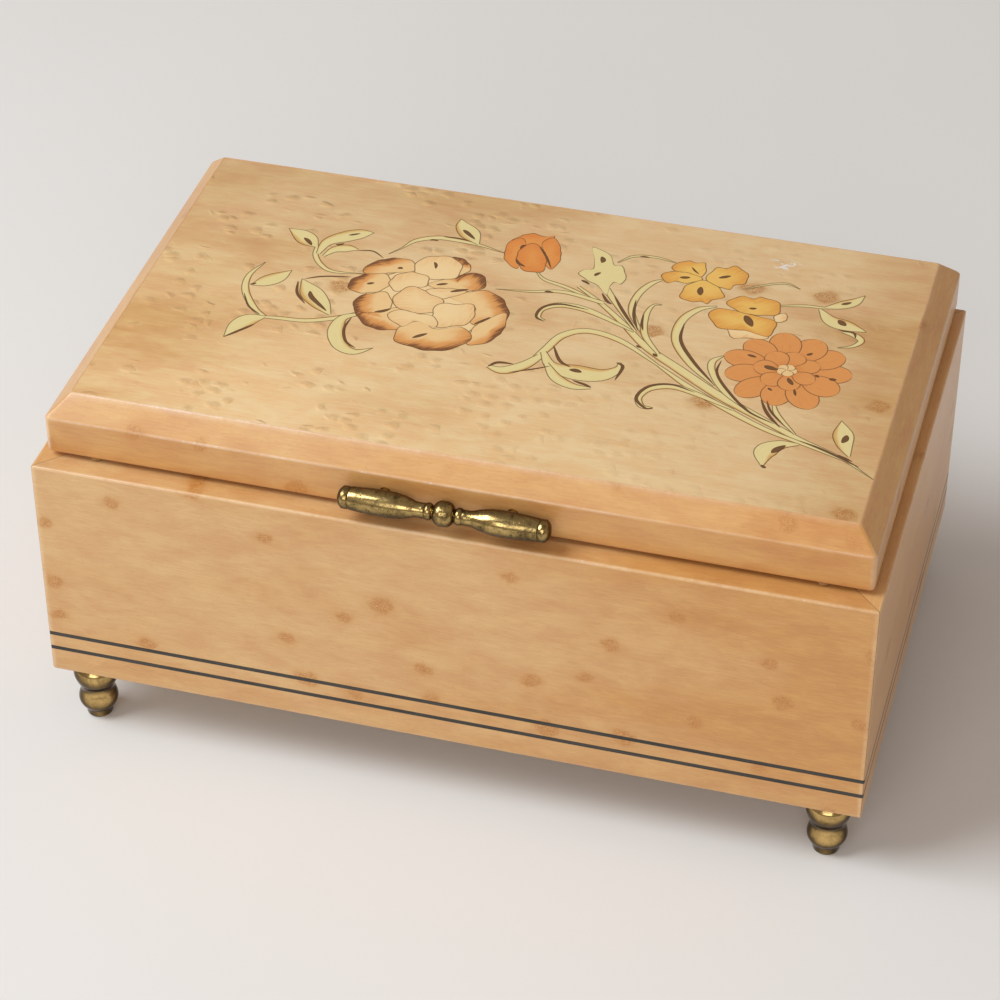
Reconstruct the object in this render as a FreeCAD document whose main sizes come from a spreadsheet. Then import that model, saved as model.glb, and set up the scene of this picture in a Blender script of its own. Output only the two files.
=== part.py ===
import FreeCAD, Part
import math
import operator
import os
import Sketcher

# Musical jewelry box with a bevelled lid, turned brass feet and pull, and a cylinder movement under glass.
# Millimetres. +X runs along the front from left to right, the front faces -Y, +Z is up.
# The origin is on the table, under the middle of the box with its pull and hinges.

doc = FreeCAD.newDocument("musical_jewelry_box")
sheet = doc.addObject("Spreadsheet::Sheet", "sizes")
pieces = {}

OPERATIONS = {"+": operator.add, "-": operator.sub, "*": operator.mul, "/": operator.truediv}


class Size:
    """A number with the spreadsheet expression that gives it."""

    def __init__(self, value, text):
        self.value = value
        self.text = text

    def __add__(self, other):
        return combine(self, "+", other)

    def __radd__(self, other):
        return combine(other, "+", self)

    def __sub__(self, other):
        return combine(self, "-", other)

    def __rsub__(self, other):
        return combine(other, "-", self)

    def __mul__(self, other):
        return combine(self, "*", other)

    def __rmul__(self, other):
        return combine(other, "*", self)

    def __truediv__(self, other):
        return combine(self, "/", other)

    def __rtruediv__(self, other):
        return combine(other, "/", self)

    def __neg__(self):
        return combine(0, "-", self)


def as_size(amount):
    """The amount itself if it is a Size, or a plain number turned into one."""
    if isinstance(amount, Size):
        return amount
    return Size(amount, repr(amount))


def combine(left, sign, right):
    """One sum or product of two sizes, as a value and as an expression."""
    left = as_size(left)
    right = as_size(right)
    value = OPERATIONS[sign](left.value, right.value)
    return Size(value, "(" + left.text + " " + sign + " " + right.text + ")")


def cosine(angle):
    """Cosine of a size that is an angle in degrees."""
    return Size(math.cos(math.radians(angle.value)), "cos(" + angle.text + ")")


def sine(angle):
    """Sine of a size that is an angle in degrees."""
    return Size(math.sin(math.radians(angle.value)), "sin(" + angle.text + ")")


def size(alias, value):
    """Writes one driving dimension into the sheet and returns it."""
    row = str(len(sheet.getUsedCells()) // 2 + 1)
    sheet.set("A" + row, alias)
    sheet.set("B" + row, str(value))
    sheet.setAlias("B" + row, alias)
    return Size(value, "sizes." + alias)


# Fits
running_gap = size("running_gap", 0.05)
seat_gap = size("seat_gap", 0.02)
loose_gap = size("loose_gap", 0.3)
overrun = size("overrun", 2.0)

# Case
case_length = size("case_length", 200.0)
case_depth = size("case_depth", 122.0)
case_height = size("case_height", 62.0)
wall = size("wall", 9.0)
board = size("board", 3.0)
board_rise = size("board_rise", 2.0)
board_tongue = size("board_tongue", 3.0)
string_width = size("string_width", 1.1)
string_inlay = size("string_inlay", 0.8)
string_low = size("string_low", 6.45)
string_pitch = size("string_pitch", 4.45)

# Feet
foot_height = size("foot_height", 17.0)
foot_radius = size("foot_radius", 5.6)
foot_collar = size("foot_collar", 4.2)
foot_neck = size("foot_neck", 4.2)
foot_bead = size("foot_bead", 4.95)
foot_button = size("foot_button", 3.2)
foot_shank = size("foot_shank", 1.7)
shank_length = size("shank_length", 10.0)
foot_from_side = size("foot_from_side", 8.4)
foot_from_face = size("foot_from_face", 6.6)

# Lid
lid_gap = size("lid_gap", 1.2)
lid_edge = size("lid_edge", 9.6)
bevel = size("bevel", 5.0)
veneer = size("veneer", 0.8)
lid_front_step = size("lid_front_step", 5.0)
lid_side_step = size("lid_side_step", 2.4)
lid_recess = size("lid_recess", 3.0)
lid_lining_thick = size("lid_lining_thick", 2.6)
lid_margin = size("lid_margin", 12.0)
bumper_radius = size("bumper_radius", 1.6)
bumper_thick = size("bumper_thick", 0.9)
bumper_from_side = size("bumper_from_side", 14.0)

# Pull
pull_length = size("pull_length", 50.0)
pull_end = size("pull_end", 2.7)
pull_lobe = size("pull_lobe", 3.1)
pull_neck = size("pull_neck", 1.8)
pull_ring = size("pull_ring", 2.1)
pull_bead = size("pull_bead", 3.0)
pull_dome = size("pull_dome", 1.2)
pull_cap = size("pull_cap", 1.4)
pull_cap_groove = size("pull_cap_groove", 0.2)
lobe_spacing = size("lobe_spacing", 27.0)
pull_waist = size("pull_waist", 13.0)
ring_length = size("ring_length", 2.0)
bead_length = size("bead_length", 5.0)
pull_standoff = size("pull_standoff", 4.0)
pull_height = size("pull_height", 4.8)
post_radius = size("post_radius", 1.5)
post_spacing = size("post_spacing", 30.0)
post_shank = size("post_shank", 1.1)
post_shank_length = size("post_shank_length", 9.0)

# Hinges
hinge_length = size("hinge_length", 25.0)
hinge_inset = size("hinge_inset", 38.0)
hinge_offset = size("hinge_offset", 1.7)
knuckle_radius = size("knuckle_radius", 1.5)
knuckle_gap = size("knuckle_gap", 0.2)
pin_radius = size("pin_radius", 0.75)
leaf = size("leaf", 0.9)
leaf_width = size("leaf_width", 6.2)
heel_reach = size("heel_reach", 3.6)
stop_angle = size("stop_angle", 95.0)
stop_gap = size("stop_gap", 0.1)
leaf_screw_pitch = size("leaf_screw_pitch", 8.5)
leaf_screw_head = size("leaf_screw_head", 1.4)
leaf_screw_shank = size("leaf_screw_shank", 0.8)
leaf_screw_length = size("leaf_screw_length", 6.0)

# Lining and compartments
lining = size("lining", 1.0)
lining_drop = size("lining_drop", 1.5)
partition = size("partition", 3.0)
partition_drop = size("partition_drop", 5.0)
ring_width = size("ring_width", 37.0)
ring_drop = size("ring_drop", 4.0)
roll_count = size("roll_count", 4)
roll_gap = size("roll_gap", 0.5)
roll_height = size("roll_height", 11.0)
cleat = size("cleat", 4.0)
pane = size("pane", 2.0)
pane_clearance = size("pane_clearance", 1.5)

# Movement
bedplate = size("bedplate", 3.0)
bed_margin = size("bed_margin", 2.0)
bed_edge = size("bed_edge", 1.5)
bed_front = size("bed_front", 29.0)
bed_back = size("bed_back", 24.5)
bed_screw_head = size("bed_screw_head", 2.6)
bed_screw_head_height = size("bed_screw_head_height", 1.4)
bed_screw_shank = size("bed_screw_shank", 1.2)
bed_screw_inset = size("bed_screw_inset", 4.0)
barrel_radius = size("barrel_radius", 11.0)
barrel_height = size("barrel_height", 11.0)
barrel_wall = size("barrel_wall", 0.8)
spring_turns = size("spring_turns", 5)
spring_thick = size("spring_thick", 0.4)
arbor_radius = size("arbor_radius", 2.0)
arbor_journal = size("arbor_journal", 1.5)
crown_teeth = size("crown_teeth", 36)
crown_disc = size("crown_disc", 1.4)
crown_face = size("crown_face", 1.8)
side_gap = size("side_gap", 1.0)
train_module = size("train_module", 0.5)
fan_module = size("fan_module", 0.4)
pinion_teeth = size("pinion_teeth", 12)
wheel_teeth = size("wheel_teeth", 36)
second_pinion_teeth = size("second_pinion_teeth", 10)
second_wheel_teeth = size("second_wheel_teeth", 32)
fan_pinion_teeth = size("fan_pinion_teeth", 10)
wheel_thick = size("wheel_thick", 1.4)
second_angle = size("second_angle", -37.0)
fan_angle = size("fan_angle", -26.0)
cylinder_radius = size("cylinder_radius", 6.5)
cylinder_wall = size("cylinder_wall", 0.9)
note_count = size("note_count", 18)
note_pitch = size("note_pitch", 1.05)
note_gap = size("note_gap", 0.35)
pins_per_note = size("pins_per_note", 4)
music_pin_radius = size("music_pin_radius", 0.2)
music_pin_height = size("music_pin_height", 0.8)
cylinder_arbor_radius = size("cylinder_arbor_radius", 1.2)
second_arbor_radius = size("second_arbor_radius", 0.8)
fan_arbor_radius = size("fan_arbor_radius", 0.6)
plate_thick = size("plate_thick", 1.5)
plate_margin = size("plate_margin", 4.5)
plate_foot = size("plate_foot", 4.5)
plate_screw_head = size("plate_screw_head", 1.5)
plate_screw_head_height = size("plate_screw_head_height", 0.8)
plate_screw_shank = size("plate_screw_shank", 0.7)
bearing_width = size("bearing_width", 10.0)
comb_thick = size("comb_thick", 1.2)
comb_tooth = size("comb_tooth", 12.0)
comb_base = size("comb_base", 8.0)
comb_tip_gap = size("comb_tip_gap", 0.3)
comb_screw_head = size("comb_screw_head", 2.2)
comb_screw_head_height = size("comb_screw_head_height", 1.2)
comb_screw_shank = size("comb_screw_shank", 1.2)
comb_screw_length = size("comb_screw_length", 8.0)
fan_radius = size("fan_radius", 5.4)
fan_width = size("fan_width", 5.0)
fan_blade = size("fan_blade", 0.5)
fan_hub = size("fan_hub", 1.5)

# Winding key
key_hub = size("key_hub", 3.4)
key_hub_height = size("key_hub_height", 8.0)
key_drop = size("key_drop", 0.8)
key_wing = size("key_wing", 5.0)
key_wing_eye = size("key_wing_eye", 2.2)
key_wing_spread = size("key_wing_spread", 7.0)
key_thick = size("key_thick", 1.8)
key_thread = size("key_thread", 6.0)

# Stop work
lever_thick = size("lever_thick", 1.2)
lever_gap = size("lever_gap", 0.4)
lever_hub = size("lever_hub", 2.2)
lever_width = size("lever_width", 2.0)
lever_stud = size("lever_stud", 1.0)
lever_pivot_y = size("lever_pivot_y", 5.0)
lever_pivot_z = size("lever_pivot_z", 0.4)
lever_slope = size("lever_slope", 20.0)
finger_radius = size("finger_radius", 0.5)
finger_gap = size("finger_gap", 0.4)
rod_radius = size("rod_radius", 0.9)
rod_arm = size("rod_arm", 7.0)
rod_clear = size("rod_clear", 0.2)
guide_flange = size("guide_flange", 3.0)
guide_flange_thick = size("guide_flange_thick", 1.0)
guide_wall = size("guide_wall", 0.8)
lever_spring_thick = size("lever_spring_thick", 0.4)

# Shares of the sizes that they follow
addendum_share = 0.8
dedendum_share = 1.1
tooth_tip_share = 0.3
tooth_root_share = 0.85
tooth_sink_share = 0.3
roll_crown_share = 0.35
pull_groove_share = 0.7
dome_bow_share = 0.25
quarter_bow_share = 0.293

# Directions: a shape drawn upright is laid along +X, along +Y or towards the front
UPRIGHT = FreeCAD.Rotation()
ALONG_X = FreeCAD.Rotation(FreeCAD.Vector(0, 1, 0), 90)
ALONG_Y = FreeCAD.Rotation(FreeCAD.Vector(1, 0, 0), -90)
TO_FRONT = FreeCAD.Rotation(FreeCAD.Vector(1, 0, 0), 90)
DOWNWARD = FreeCAD.Rotation(FreeCAD.Vector(1, 0, 0), 180)
TRAIN = FreeCAD.Rotation(FreeCAD.Vector(1, 1, 1), 120)


def turned_by(angle):
    """A turn about the upright axis."""
    return FreeCAD.Rotation(FreeCAD.Vector(0, 0, 1), angle)


def bind(item, name, amount):
    """Ties one property of an object to the sheet."""
    item.setExpression(name, as_size(amount).text)


def place(item, at, turn=UPRIGHT):
    """Puts an object at a point given in sizes, with a turn."""
    at = [as_size(amount) for amount in at]
    item.Placement = FreeCAD.Placement(FreeCAD.Vector(*[amount.value for amount in at]), turn)
    for axis, amount in zip("xyz", at):
        bind(item, "Placement.Base." + axis, amount)
    return item


def piece(label, item):
    """Names an object as one finished piece of the box."""
    item.Label = label
    pieces[label] = item
    return item


def block(name, low, high):
    """Rectangular block between two opposite corners."""
    item = doc.addObject("Part::Box", name)
    for side, start, end in zip(("Length", "Width", "Height"), low, high):
        bind(item, side, end - start)
    return place(item, low)


def rod(name, start, radius, length, turn=UPRIGHT):
    """Round rod from a start point, along the direction of the turn."""
    item = doc.addObject("Part::Cylinder", name)
    bind(item, "Radius", radius)
    bind(item, "Height", length)
    return place(item, start, turn)


def mitred(name, length, thickness, height, at, turn):
    """Board whose outer face lies on local XZ, with both ends cut back at 45 degrees."""
    item = doc.addObject("Part::Wedge", name)
    half = length / 2
    limits = {"Xmin": -half, "Xmax": half, "Ymin": 0, "Ymax": thickness, "Zmin": 0, "Zmax": height}
    limits.update({"X2min": thickness - half, "X2max": half - thickness, "Z2min": 0, "Z2max": height})
    for name_of_limit, amount in limits.items():
        bind(item, name_of_limit, amount)
    return place(item, at, turn)


def frustum(name, low, high, base_z, rise):
    """Block with four sides that lean in at 45 degrees, on a rectangle in plan."""
    item = doc.addObject("Part::Wedge", name)
    limits = {"Xmin": low[0], "Xmax": high[0], "Ymin": 0, "Ymax": rise, "Zmin": -high[1], "Zmax": -low[1]}
    limits.update({"X2min": low[0] + rise, "X2max": high[0] - rise})
    limits.update({"Z2min": rise - high[1], "Z2max": -low[1] - rise})
    for name_of_limit, amount in limits.items():
        bind(item, name_of_limit, amount)
    return place(item, (0, 0, base_z), TO_FRONT)


def cut(name, base, *tools):
    """Base without the tools."""
    for tool in tools:
        item = doc.addObject("Part::Cut", name)
        item.Base = base
        item.Tool = tool
        base = item
    return base


def fuse(name, *items):
    """One solid out of several that run into each other."""
    item = doc.addObject("Part::MultiFuse", name)
    item.Shapes = list(items)
    return item


def common(name, first, second):
    """What two solids share."""
    item = doc.addObject("Part::Common", name)
    item.Base = first
    item.Tool = second
    return item


def group(name, items):
    """Several separate solids kept together as one piece."""
    item = doc.addObject("Part::Compound", name)
    item.Links = list(items)
    return item


def body(name, at=(0, 0, 0), turn=UPRIGHT):
    """Empty body at a point, ready for sketches."""
    return place(doc.addObject("PartDesign::Body", name), at, turn)


def origin_of(item, role):
    """One plane or axis of a body's own origin."""
    return next(feature for feature in item.Origin.OriginFeatures if feature.Role == role)


def sketch(item, role, rise=0):
    """Empty sketch on one of a body's own planes, raised along the plane's normal."""
    drawing = item.newObject("Sketcher::SketchObject", item.Name + "_sketch")
    drawing.AttachmentSupport = (origin_of(item, role), [""])
    drawing.MapMode = "FlatFace"
    if as_size(rise).value:
        bind(drawing, "AttachmentOffset.Base.z", rise)
    return drawing


def hold(drawing, kind, amount, *where):
    """One dimension of a sketch, tied to the sheet."""
    index = drawing.addConstraint(Sketcher.Constraint(kind, *where, amount.value))
    bind(drawing, "Constraints[" + str(index) + "]", amount)


def flat(point):
    """A point of a sketch as a vector."""
    return FreeCAD.Vector(point[0].value, point[1].value, 0)


def draw_outline(drawing, corners):
    """Closed outline through corners (x, y) or (x, y, bulge), where the bulge, a length, bows the side
    that leads to that corner into an arc, to the left of its way where it is positive. An arc that reaches
    the axis is a dome, with its centre on the axis."""
    points = [[as_size(amount) for amount in corner] for corner in corners]
    first = drawing.GeometryCount
    ends = []
    for index, target in enumerate(points):
        source = points[index - 1]
        start = flat(source)
        end = flat(target)
        if len(target) == 2:
            drawing.addGeometry(Part.LineSegment(start, end), False)
            ends.append((1, 2))
            continue
        bulge = target[2]
        way = end - start
        left = FreeCAD.Vector(-way.y, way.x, 0).normalize()
        middle = (start + end) / 2 + left * bulge.value
        outward = bulge.value > 0
        arc = Part.Arc(end, middle, start) if outward else Part.Arc(start, middle, end)
        drawing.addGeometry(arc, False)
        ends.append((2, 1) if outward else (1, 2))
    for index, target in enumerate(points):
        after = (index + 1) % len(points)
        here = (first + index, ends[index][1])
        there = (first + after, ends[after][0])
        drawing.addConstraint(Sketcher.Constraint("Coincident", *here, *there))
        hold(drawing, "DistanceX", target[0], first + index, ends[index][1])
        hold(drawing, "DistanceY", target[1], first + index, ends[index][1])
        if len(target) == 3:
            source = points[index - 1]
            if 0 in (source[0].value, target[0].value):
                drawing.addConstraint(Sketcher.Constraint("PointOnObject", first + index, 3, -2))
                continue
            across = target[0] - source[0]
            along = target[1] - source[1]
            depth = target[2] if target[2].value > 0 else -target[2]
            radius = (across * across + along * along) / (8 * depth) + depth / 2
            hold(drawing, "Radius", radius, first + index)


def draw_circle(drawing, centre, radius):
    """Circle of a sketch, held by its centre and radius."""
    centre = [as_size(amount) for amount in centre]
    index = drawing.addGeometry(Part.Circle(flat(centre), FreeCAD.Vector(0, 0, 1), radius.value), False)
    hold(drawing, "DistanceX", centre[0], index, 3)
    hold(drawing, "DistanceY", centre[1], index, 3)
    hold(drawing, "Radius", radius, index)


def pad(item, drawing, length):
    """Gives a sketch its thickness."""
    feature = item.newObject("PartDesign::Pad", item.Name + "_pad")
    feature.Profile = drawing
    bind(feature, "Length", length)
    return feature


def turned(name, profile, at, turn=UPRIGHT):
    """Body turned about its own upright axis from a profile of radius and height."""
    item = body(name, at, turn)
    drawing = sketch(item, "XZ_Plane")
    draw_outline(drawing, profile)
    feature = item.newObject("PartDesign::Revolution", name + "_turning")
    feature.Profile = drawing
    feature.ReferenceAxis = (drawing, ["V_Axis"])
    feature.Angle = 360
    return item


def plate(name, corners, holes, thickness, at, turn=UPRIGHT):
    """Flat plate of an outline with round holes."""
    item = body(name, at, turn)
    drawing = sketch(item, "XY_Plane")
    draw_outline(drawing, corners)
    for centre, radius in holes:
        draw_circle(drawing, centre, radius)
    pad(item, drawing, thickness)
    return item


def repeat_round(item, feature, count):
    """Repeats a tooth round the body's upright axis."""
    doc.recompute()
    pattern = item.newObject("PartDesign::PolarPattern", item.Name + "_teeth")
    pattern.Originals = [feature]
    pattern.Axis = (origin_of(item, "Z_Axis"), [""])
    pattern.Angle = 360
    bind(pattern, "Occurrences", count)
    item.Tip = pattern


def pitch_radius(teeth, module):
    """Radius of the circle on which two wheels roll on each other."""
    return teeth * module / 2


def add_spur_teeth(item, teeth, module, rise, width):
    """Straight-sided teeth round a body, from the root circle outwards."""
    pitch = pitch_radius(teeth, module)
    root = pitch - module * dedendum_share
    sunk = root - module * tooth_sink_share
    tip = pitch + module * addendum_share
    root_half = module * tooth_root_share
    tip_half = module * tooth_tip_share
    drawing = sketch(item, "XY_Plane", rise)
    draw_outline(drawing, [(sunk, -root_half), (tip, -tip_half), (tip, tip_half), (sunk, root_half)])
    repeat_round(item, pad(item, drawing, width), teeth)


def spur_wheel(name, teeth, module, thickness, bore, at, phase):
    """Toothed wheel on a bore, its axis along the train, one tooth at the phase angle."""
    item = body(name, at, TRAIN.multiply(turned_by(phase.value)))
    drawing = sketch(item, "XY_Plane")
    draw_circle(drawing, (0, 0), pitch_radius(teeth, module) - module * dedendum_share)
    draw_circle(drawing, (0, 0), bore)
    pad(item, drawing, thickness)
    add_spur_teeth(item, teeth, module, 0, thickness)
    return piece(name, item)


def pinion_arbor(name, teeth, module, radius, length, pinion_start, pinion_width, at, phase):
    """Arbor along the train with a pinion cut in one piece with it."""
    item = body(name, at, TRAIN.multiply(turned_by(phase.value)))
    shaft = sketch(item, "XY_Plane")
    draw_circle(shaft, (0, 0), radius)
    pad(item, shaft, length)
    core = sketch(item, "XY_Plane", pinion_start)
    draw_circle(core, (0, 0), pitch_radius(teeth, module) - module * dedendum_share)
    pad(item, core, pinion_width)
    add_spur_teeth(item, teeth, module, pinion_start, pinion_width)
    return piece(name, item)


def screw(name, at, turn, head, head_height, shank, length):
    """Screw whose shank starts at a point and runs along the turn, with its head behind that point."""
    stem = rod(name + "_shank", at, shank, length, turn)
    back = turn.multVec(FreeCAD.Vector(0, 0, 1))
    start = [as_size(amount) - head_height * step for amount, step in zip(at, (back.x, back.y, back.z))]
    return fuse(name, rod(name + "_head", start, head, head_height, turn), stem)


# Levels and faces that the pieces share
case_z = foot_height
floor_z = case_z + board_rise + board
rim_z = case_z + case_height
lid_z = rim_z + lid_gap
bevel_z = lid_z + lid_edge
hinge_z = rim_z + lid_gap / 2
front_overhang = pull_standoff + pull_lobe - lid_front_step
back_overhang = hinge_offset + heel_reach
middle_y = (front_overhang - back_overhang) / 2
front_y = middle_y - case_depth / 2
back_y = middle_y + case_depth / 2
hinge_y = back_y + hinge_offset
left_x = -case_length / 2
right_x = case_length / 2
inner_left = left_x + wall
inner_right = right_x - wall
inner_front = front_y + wall
inner_back = back_y - wall
lined_left = inner_left + lining
lined_right = inner_right - lining
lined_front = inner_front + lining
lined_back = inner_back - lining
hinge_xs = {"left": left_x + hinge_inset, "right": right_x - hinge_inset}
lid_low = (left_x + lid_side_step, front_y + lid_front_step)
lid_high = (right_x - lid_side_step, back_y)

# Stations of the movement along X, in the order in which the pieces stand
bed_left = lined_left + bed_margin
arbor_x = bed_left + bed_edge + barrel_radius
crown_radius = pitch_radius(crown_teeth, train_module)
pinion_x = arbor_x + crown_radius - crown_face / 2
bearing_x = arbor_x + barrel_radius + side_gap
cylinder_x = bearing_x + plate_thick + side_gap
cylinder_length = note_count * note_pitch + note_gap * 2
inner_plate_x = cylinder_x + cylinder_length + side_gap
wheel_x = inner_plate_x + plate_thick + side_gap
second_wheel_x = wheel_x + wheel_thick + side_gap
fan_x = second_wheel_x + wheel_thick + side_gap
outer_plate_x = fan_x + fan_width + side_gap
lever_x = outer_plate_x + plate_thick + lever_gap
bed_right = outer_plate_x + plate_thick + plate_foot + bed_edge
bay_right = bed_right + bed_margin

# Axes of the movement across the box
bed_z = floor_z + bedplate
pinion_radius = pitch_radius(pinion_teeth, train_module)
tooth_height = train_module * (addendum_share + dedendum_share)
crown_z = bed_z + barrel_height + side_gap
axis_y = lined_back - bed_margin - bed_back
axis_z = crown_z + crown_disc + train_module * dedendum_share + pinion_radius
second_reach = pitch_radius(wheel_teeth, train_module) + pitch_radius(second_pinion_teeth, train_module)
second_y = axis_y + second_reach * cosine(second_angle)
second_z = axis_z + second_reach * sine(second_angle)
fan_reach = pitch_radius(second_wheel_teeth, fan_module) + pitch_radius(fan_pinion_teeth, fan_module)
fan_y = second_y + fan_reach * cosine(fan_angle)
fan_z = second_z + fan_reach * sine(fan_angle)
pin_tip = cylinder_radius + music_pin_height
comb_y = axis_y - pin_tip - comb_tip_gap
comb_z = axis_z - comb_thick / 2
bay_front = axis_y - bed_front - bed_margin
wheel_tip = pitch_radius(wheel_teeth, train_module) + train_module * addendum_share
pane_z = axis_z + wheel_tip + pane_clearance
finger_y = fan_y
finger_z = fan_z + fan_radius + finger_gap + finger_radius
spring_x = outer_plate_x + plate_thick + lever_gap + plate_screw_head


def make_case():
    """Four mitred walls with their grooves, the two inlaid strings and the bottom board."""
    sides = {
        "front_wall": (case_length, (0, front_y, case_z), 0),
        "right_wall": (case_depth, (right_x, middle_y, case_z), 90),
        "back_wall": (case_length, (0, back_y, case_z), 180),
        "left_wall": (case_depth, (left_x, middle_y, case_z), 270),
    }
    strings = {}
    for label, rise in (("lower_stringing", string_low), ("upper_stringing", string_low + string_pitch)):
        low_z = case_z + rise
        high_z = low_z + string_width
        outer_low = (left_x - overrun, front_y - overrun, low_z)
        outer_high = (right_x + overrun, back_y + overrun, high_z)
        inner_low = (left_x + string_inlay, front_y + string_inlay, low_z - overrun)
        inner_high = (right_x - string_inlay, back_y - string_inlay, high_z + overrun)
        outer = block(label + "_outer", outer_low, outer_high)
        strings[label] = cut(label + "_ring", outer, block(label + "_inner", inner_low, inner_high))
    board_low = (inner_left - board_tongue, inner_front - board_tongue, case_z + board_rise)
    board_high = (inner_right + board_tongue, inner_back + board_tongue, floor_z)
    groove_low = [amount - running_gap for amount in board_low]
    groove_high = [amount + running_gap for amount in board_high]
    groove = block("board_groove", groove_low, groove_high)
    shanks = []
    for index, (x, y) in enumerate(foot_places().values()):
        hole = rod("foot_hole_" + str(index), (x, y, case_z - overrun), foot_shank + seat_gap,
                   overrun + shank_length + seat_gap)
        shanks.append(hole)
    strips = {label: [] for label in strings}
    for label, (length, at, angle) in sides.items():
        blank = mitred(label + "_blank", length, wall, case_height, at, turned_by(angle))
        for name, ring in strings.items():
            strips[name].append(common(label + "_" + name, blank, ring))
        tools = list(strings.values()) + [groove] + shanks
        if label == "back_wall":
            tools += mortises("case", rim_z - leaf, rim_z + overrun) + pilot_holes("case")
        piece(label, cut(label, blank, *tools))
    for label, members in strips.items():
        piece(label, group(label, members))
    sheet_blank = block("board_blank", board_low, board_high)
    through = board_rise + board + overrun
    arbor_hole = rod("board_arbor_hole", (arbor_x, axis_y, case_z), arbor_radius + loose_gap, through)
    screw_holes = []
    for index, (x, y) in enumerate(bed_screw_places()):
        name = "board_screw_hole_" + str(index)
        screw_holes.append(rod(name, (x, y, case_z), bed_screw_shank + running_gap, through))
    piece("bottom_board", cut("bottom_board", sheet_blank, arbor_hole, *screw_holes, *shanks))


def foot_places():
    """Plan centre of each foot."""
    near_x = left_x + foot_from_side
    far_x = right_x - foot_from_side
    near_y = front_y + foot_from_face
    far_y = back_y - foot_from_face
    return {
        "foot_front_left": (near_x, near_y),
        "foot_front_right": (far_x, near_y),
        "foot_back_left": (near_x, far_y),
        "foot_back_right": (far_x, far_y),
    }


def make_feet():
    """Turned feet: a shank, a collar, a ball, a neck, a bead and a button to stand on."""
    collar_end_share = 0.09
    ball_end_share = 0.5
    neck_end_share = 0.53
    bead_end_share = 0.86
    collar_z = -foot_height * collar_end_share
    ball_z = -foot_height * ball_end_share
    neck_z = -foot_height * neck_end_share
    bead_z = -foot_height * bead_end_share
    profile = [
        (0, shank_length),
        (foot_shank, shank_length),
        (foot_shank, 0),
        (foot_collar, 0),
        (foot_collar, collar_z),
        (foot_neck, ball_z, foot_radius - foot_neck),
        (foot_neck, neck_z),
        (foot_button, bead_z, foot_bead - (foot_neck + foot_button) / 2),
        (foot_button, -foot_height),
        (0, -foot_height),
    ]
    for label, (x, y) in foot_places().items():
        piece(label, turned(label, profile, (x, y, case_z)))


def make_lining():
    """Velvet-covered cards on the walls and floor, the partitions, the ring block and its rolls."""
    top = rim_z - lining_drop
    cards = [
        block("front_card", (inner_left, inner_front, floor_z), (inner_right, lined_front, top)),
        block("back_card", (inner_left, lined_back, floor_z), (inner_right, inner_back, top)),
        block("left_card", (inner_left, lined_front, floor_z), (lined_left, lined_back, top)),
        block("right_card", (lined_right, lined_front, floor_z), (inner_right, lined_back, top)),
    ]
    piece("wall_lining", group("wall_lining", cards))
    divider = bay_right + partition
    ring_left = lined_right - ring_width
    ring_divider = ring_left - partition
    partition_top = rim_z - partition_drop
    bay_low = (bay_right, lined_front, floor_z)
    piece("bay_partition", block("bay_partition", bay_low, (divider, lined_back, partition_top)))
    cross_low = (lined_left, bay_front - partition, floor_z)
    piece("cross_partition", block("cross_partition", cross_low, (bay_right, bay_front, partition_top)))
    ring_low = (ring_divider, lined_front, floor_z)
    piece("ring_partition", block("ring_partition", ring_low, (ring_left, lined_back, partition_top)))
    floor_top = floor_z + lining
    main_card = block("main_card", (divider, lined_front, floor_z), (ring_divider, lined_back, floor_top))
    side_high = (bay_right, bay_front - partition, floor_top)
    side_card = block("side_card", (lined_left, lined_front, floor_z), side_high)
    piece("floor_lining", group("floor_lining", [main_card, side_card]))
    roll_z = rim_z - ring_drop - roll_height
    block_low = (ring_left, lined_front, floor_z)
    piece("ring_block", block("ring_block", block_low, (lined_right, lined_back, roll_z)))
    roll_pitch = ring_width / roll_count
    half = (roll_pitch - roll_gap) / 2
    crown = half * 2 * roll_crown_share
    shoulder = roll_height - crown
    outline = [(-half, 0), (half, 0), (half, shoulder), (-half, shoulder, -crown)]
    length = lined_back - lined_front - loose_gap * 2
    rolls = []
    for index in range(int(roll_count.value)):
        x = ring_left + roll_pitch * (index + 1) - roll_pitch / 2
        at = (x, lined_back - loose_gap, roll_z)
        rolls.append(plate("ring_roll_" + str(index), outline, [], length, at, TO_FRONT))
    piece("ring_rolls", group("ring_rolls", rolls))


def mortises(side, low_z, high_z):
    """Blocks that cut the beds of the hinge leaves."""
    beds = []
    for hand, x in hinge_xs.items():
        low = (x - hinge_length / 2 - seat_gap, back_y - leaf_width - seat_gap, low_z)
        high = (x + hinge_length / 2 + seat_gap, back_y + overrun, high_z)
        beds.append(block(side + "_mortise_" + hand, low, high))
    return beds


def leaf_screw_places():
    """Plan centres of the screws in both hinges."""
    y = back_y - leaf_width / 2
    return [(x + leaf_screw_pitch * step, y) for x in hinge_xs.values() for step in (-1, 0, 1)]


def pilot_holes(side):
    """Holes in the wood for the screws of the hinge leaves."""
    turn = DOWNWARD if side == "case" else UPRIGHT
    z = rim_z - leaf + seat_gap if side == "case" else lid_z + leaf - seat_gap
    radius = leaf_screw_shank + seat_gap
    depth = leaf_screw_length + seat_gap * 2
    holes = []
    for index, (x, y) in enumerate(leaf_screw_places()):
        holes.append(rod(side + "_pilot_" + str(index), (x, y, z), radius, depth, turn))
    return holes


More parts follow.
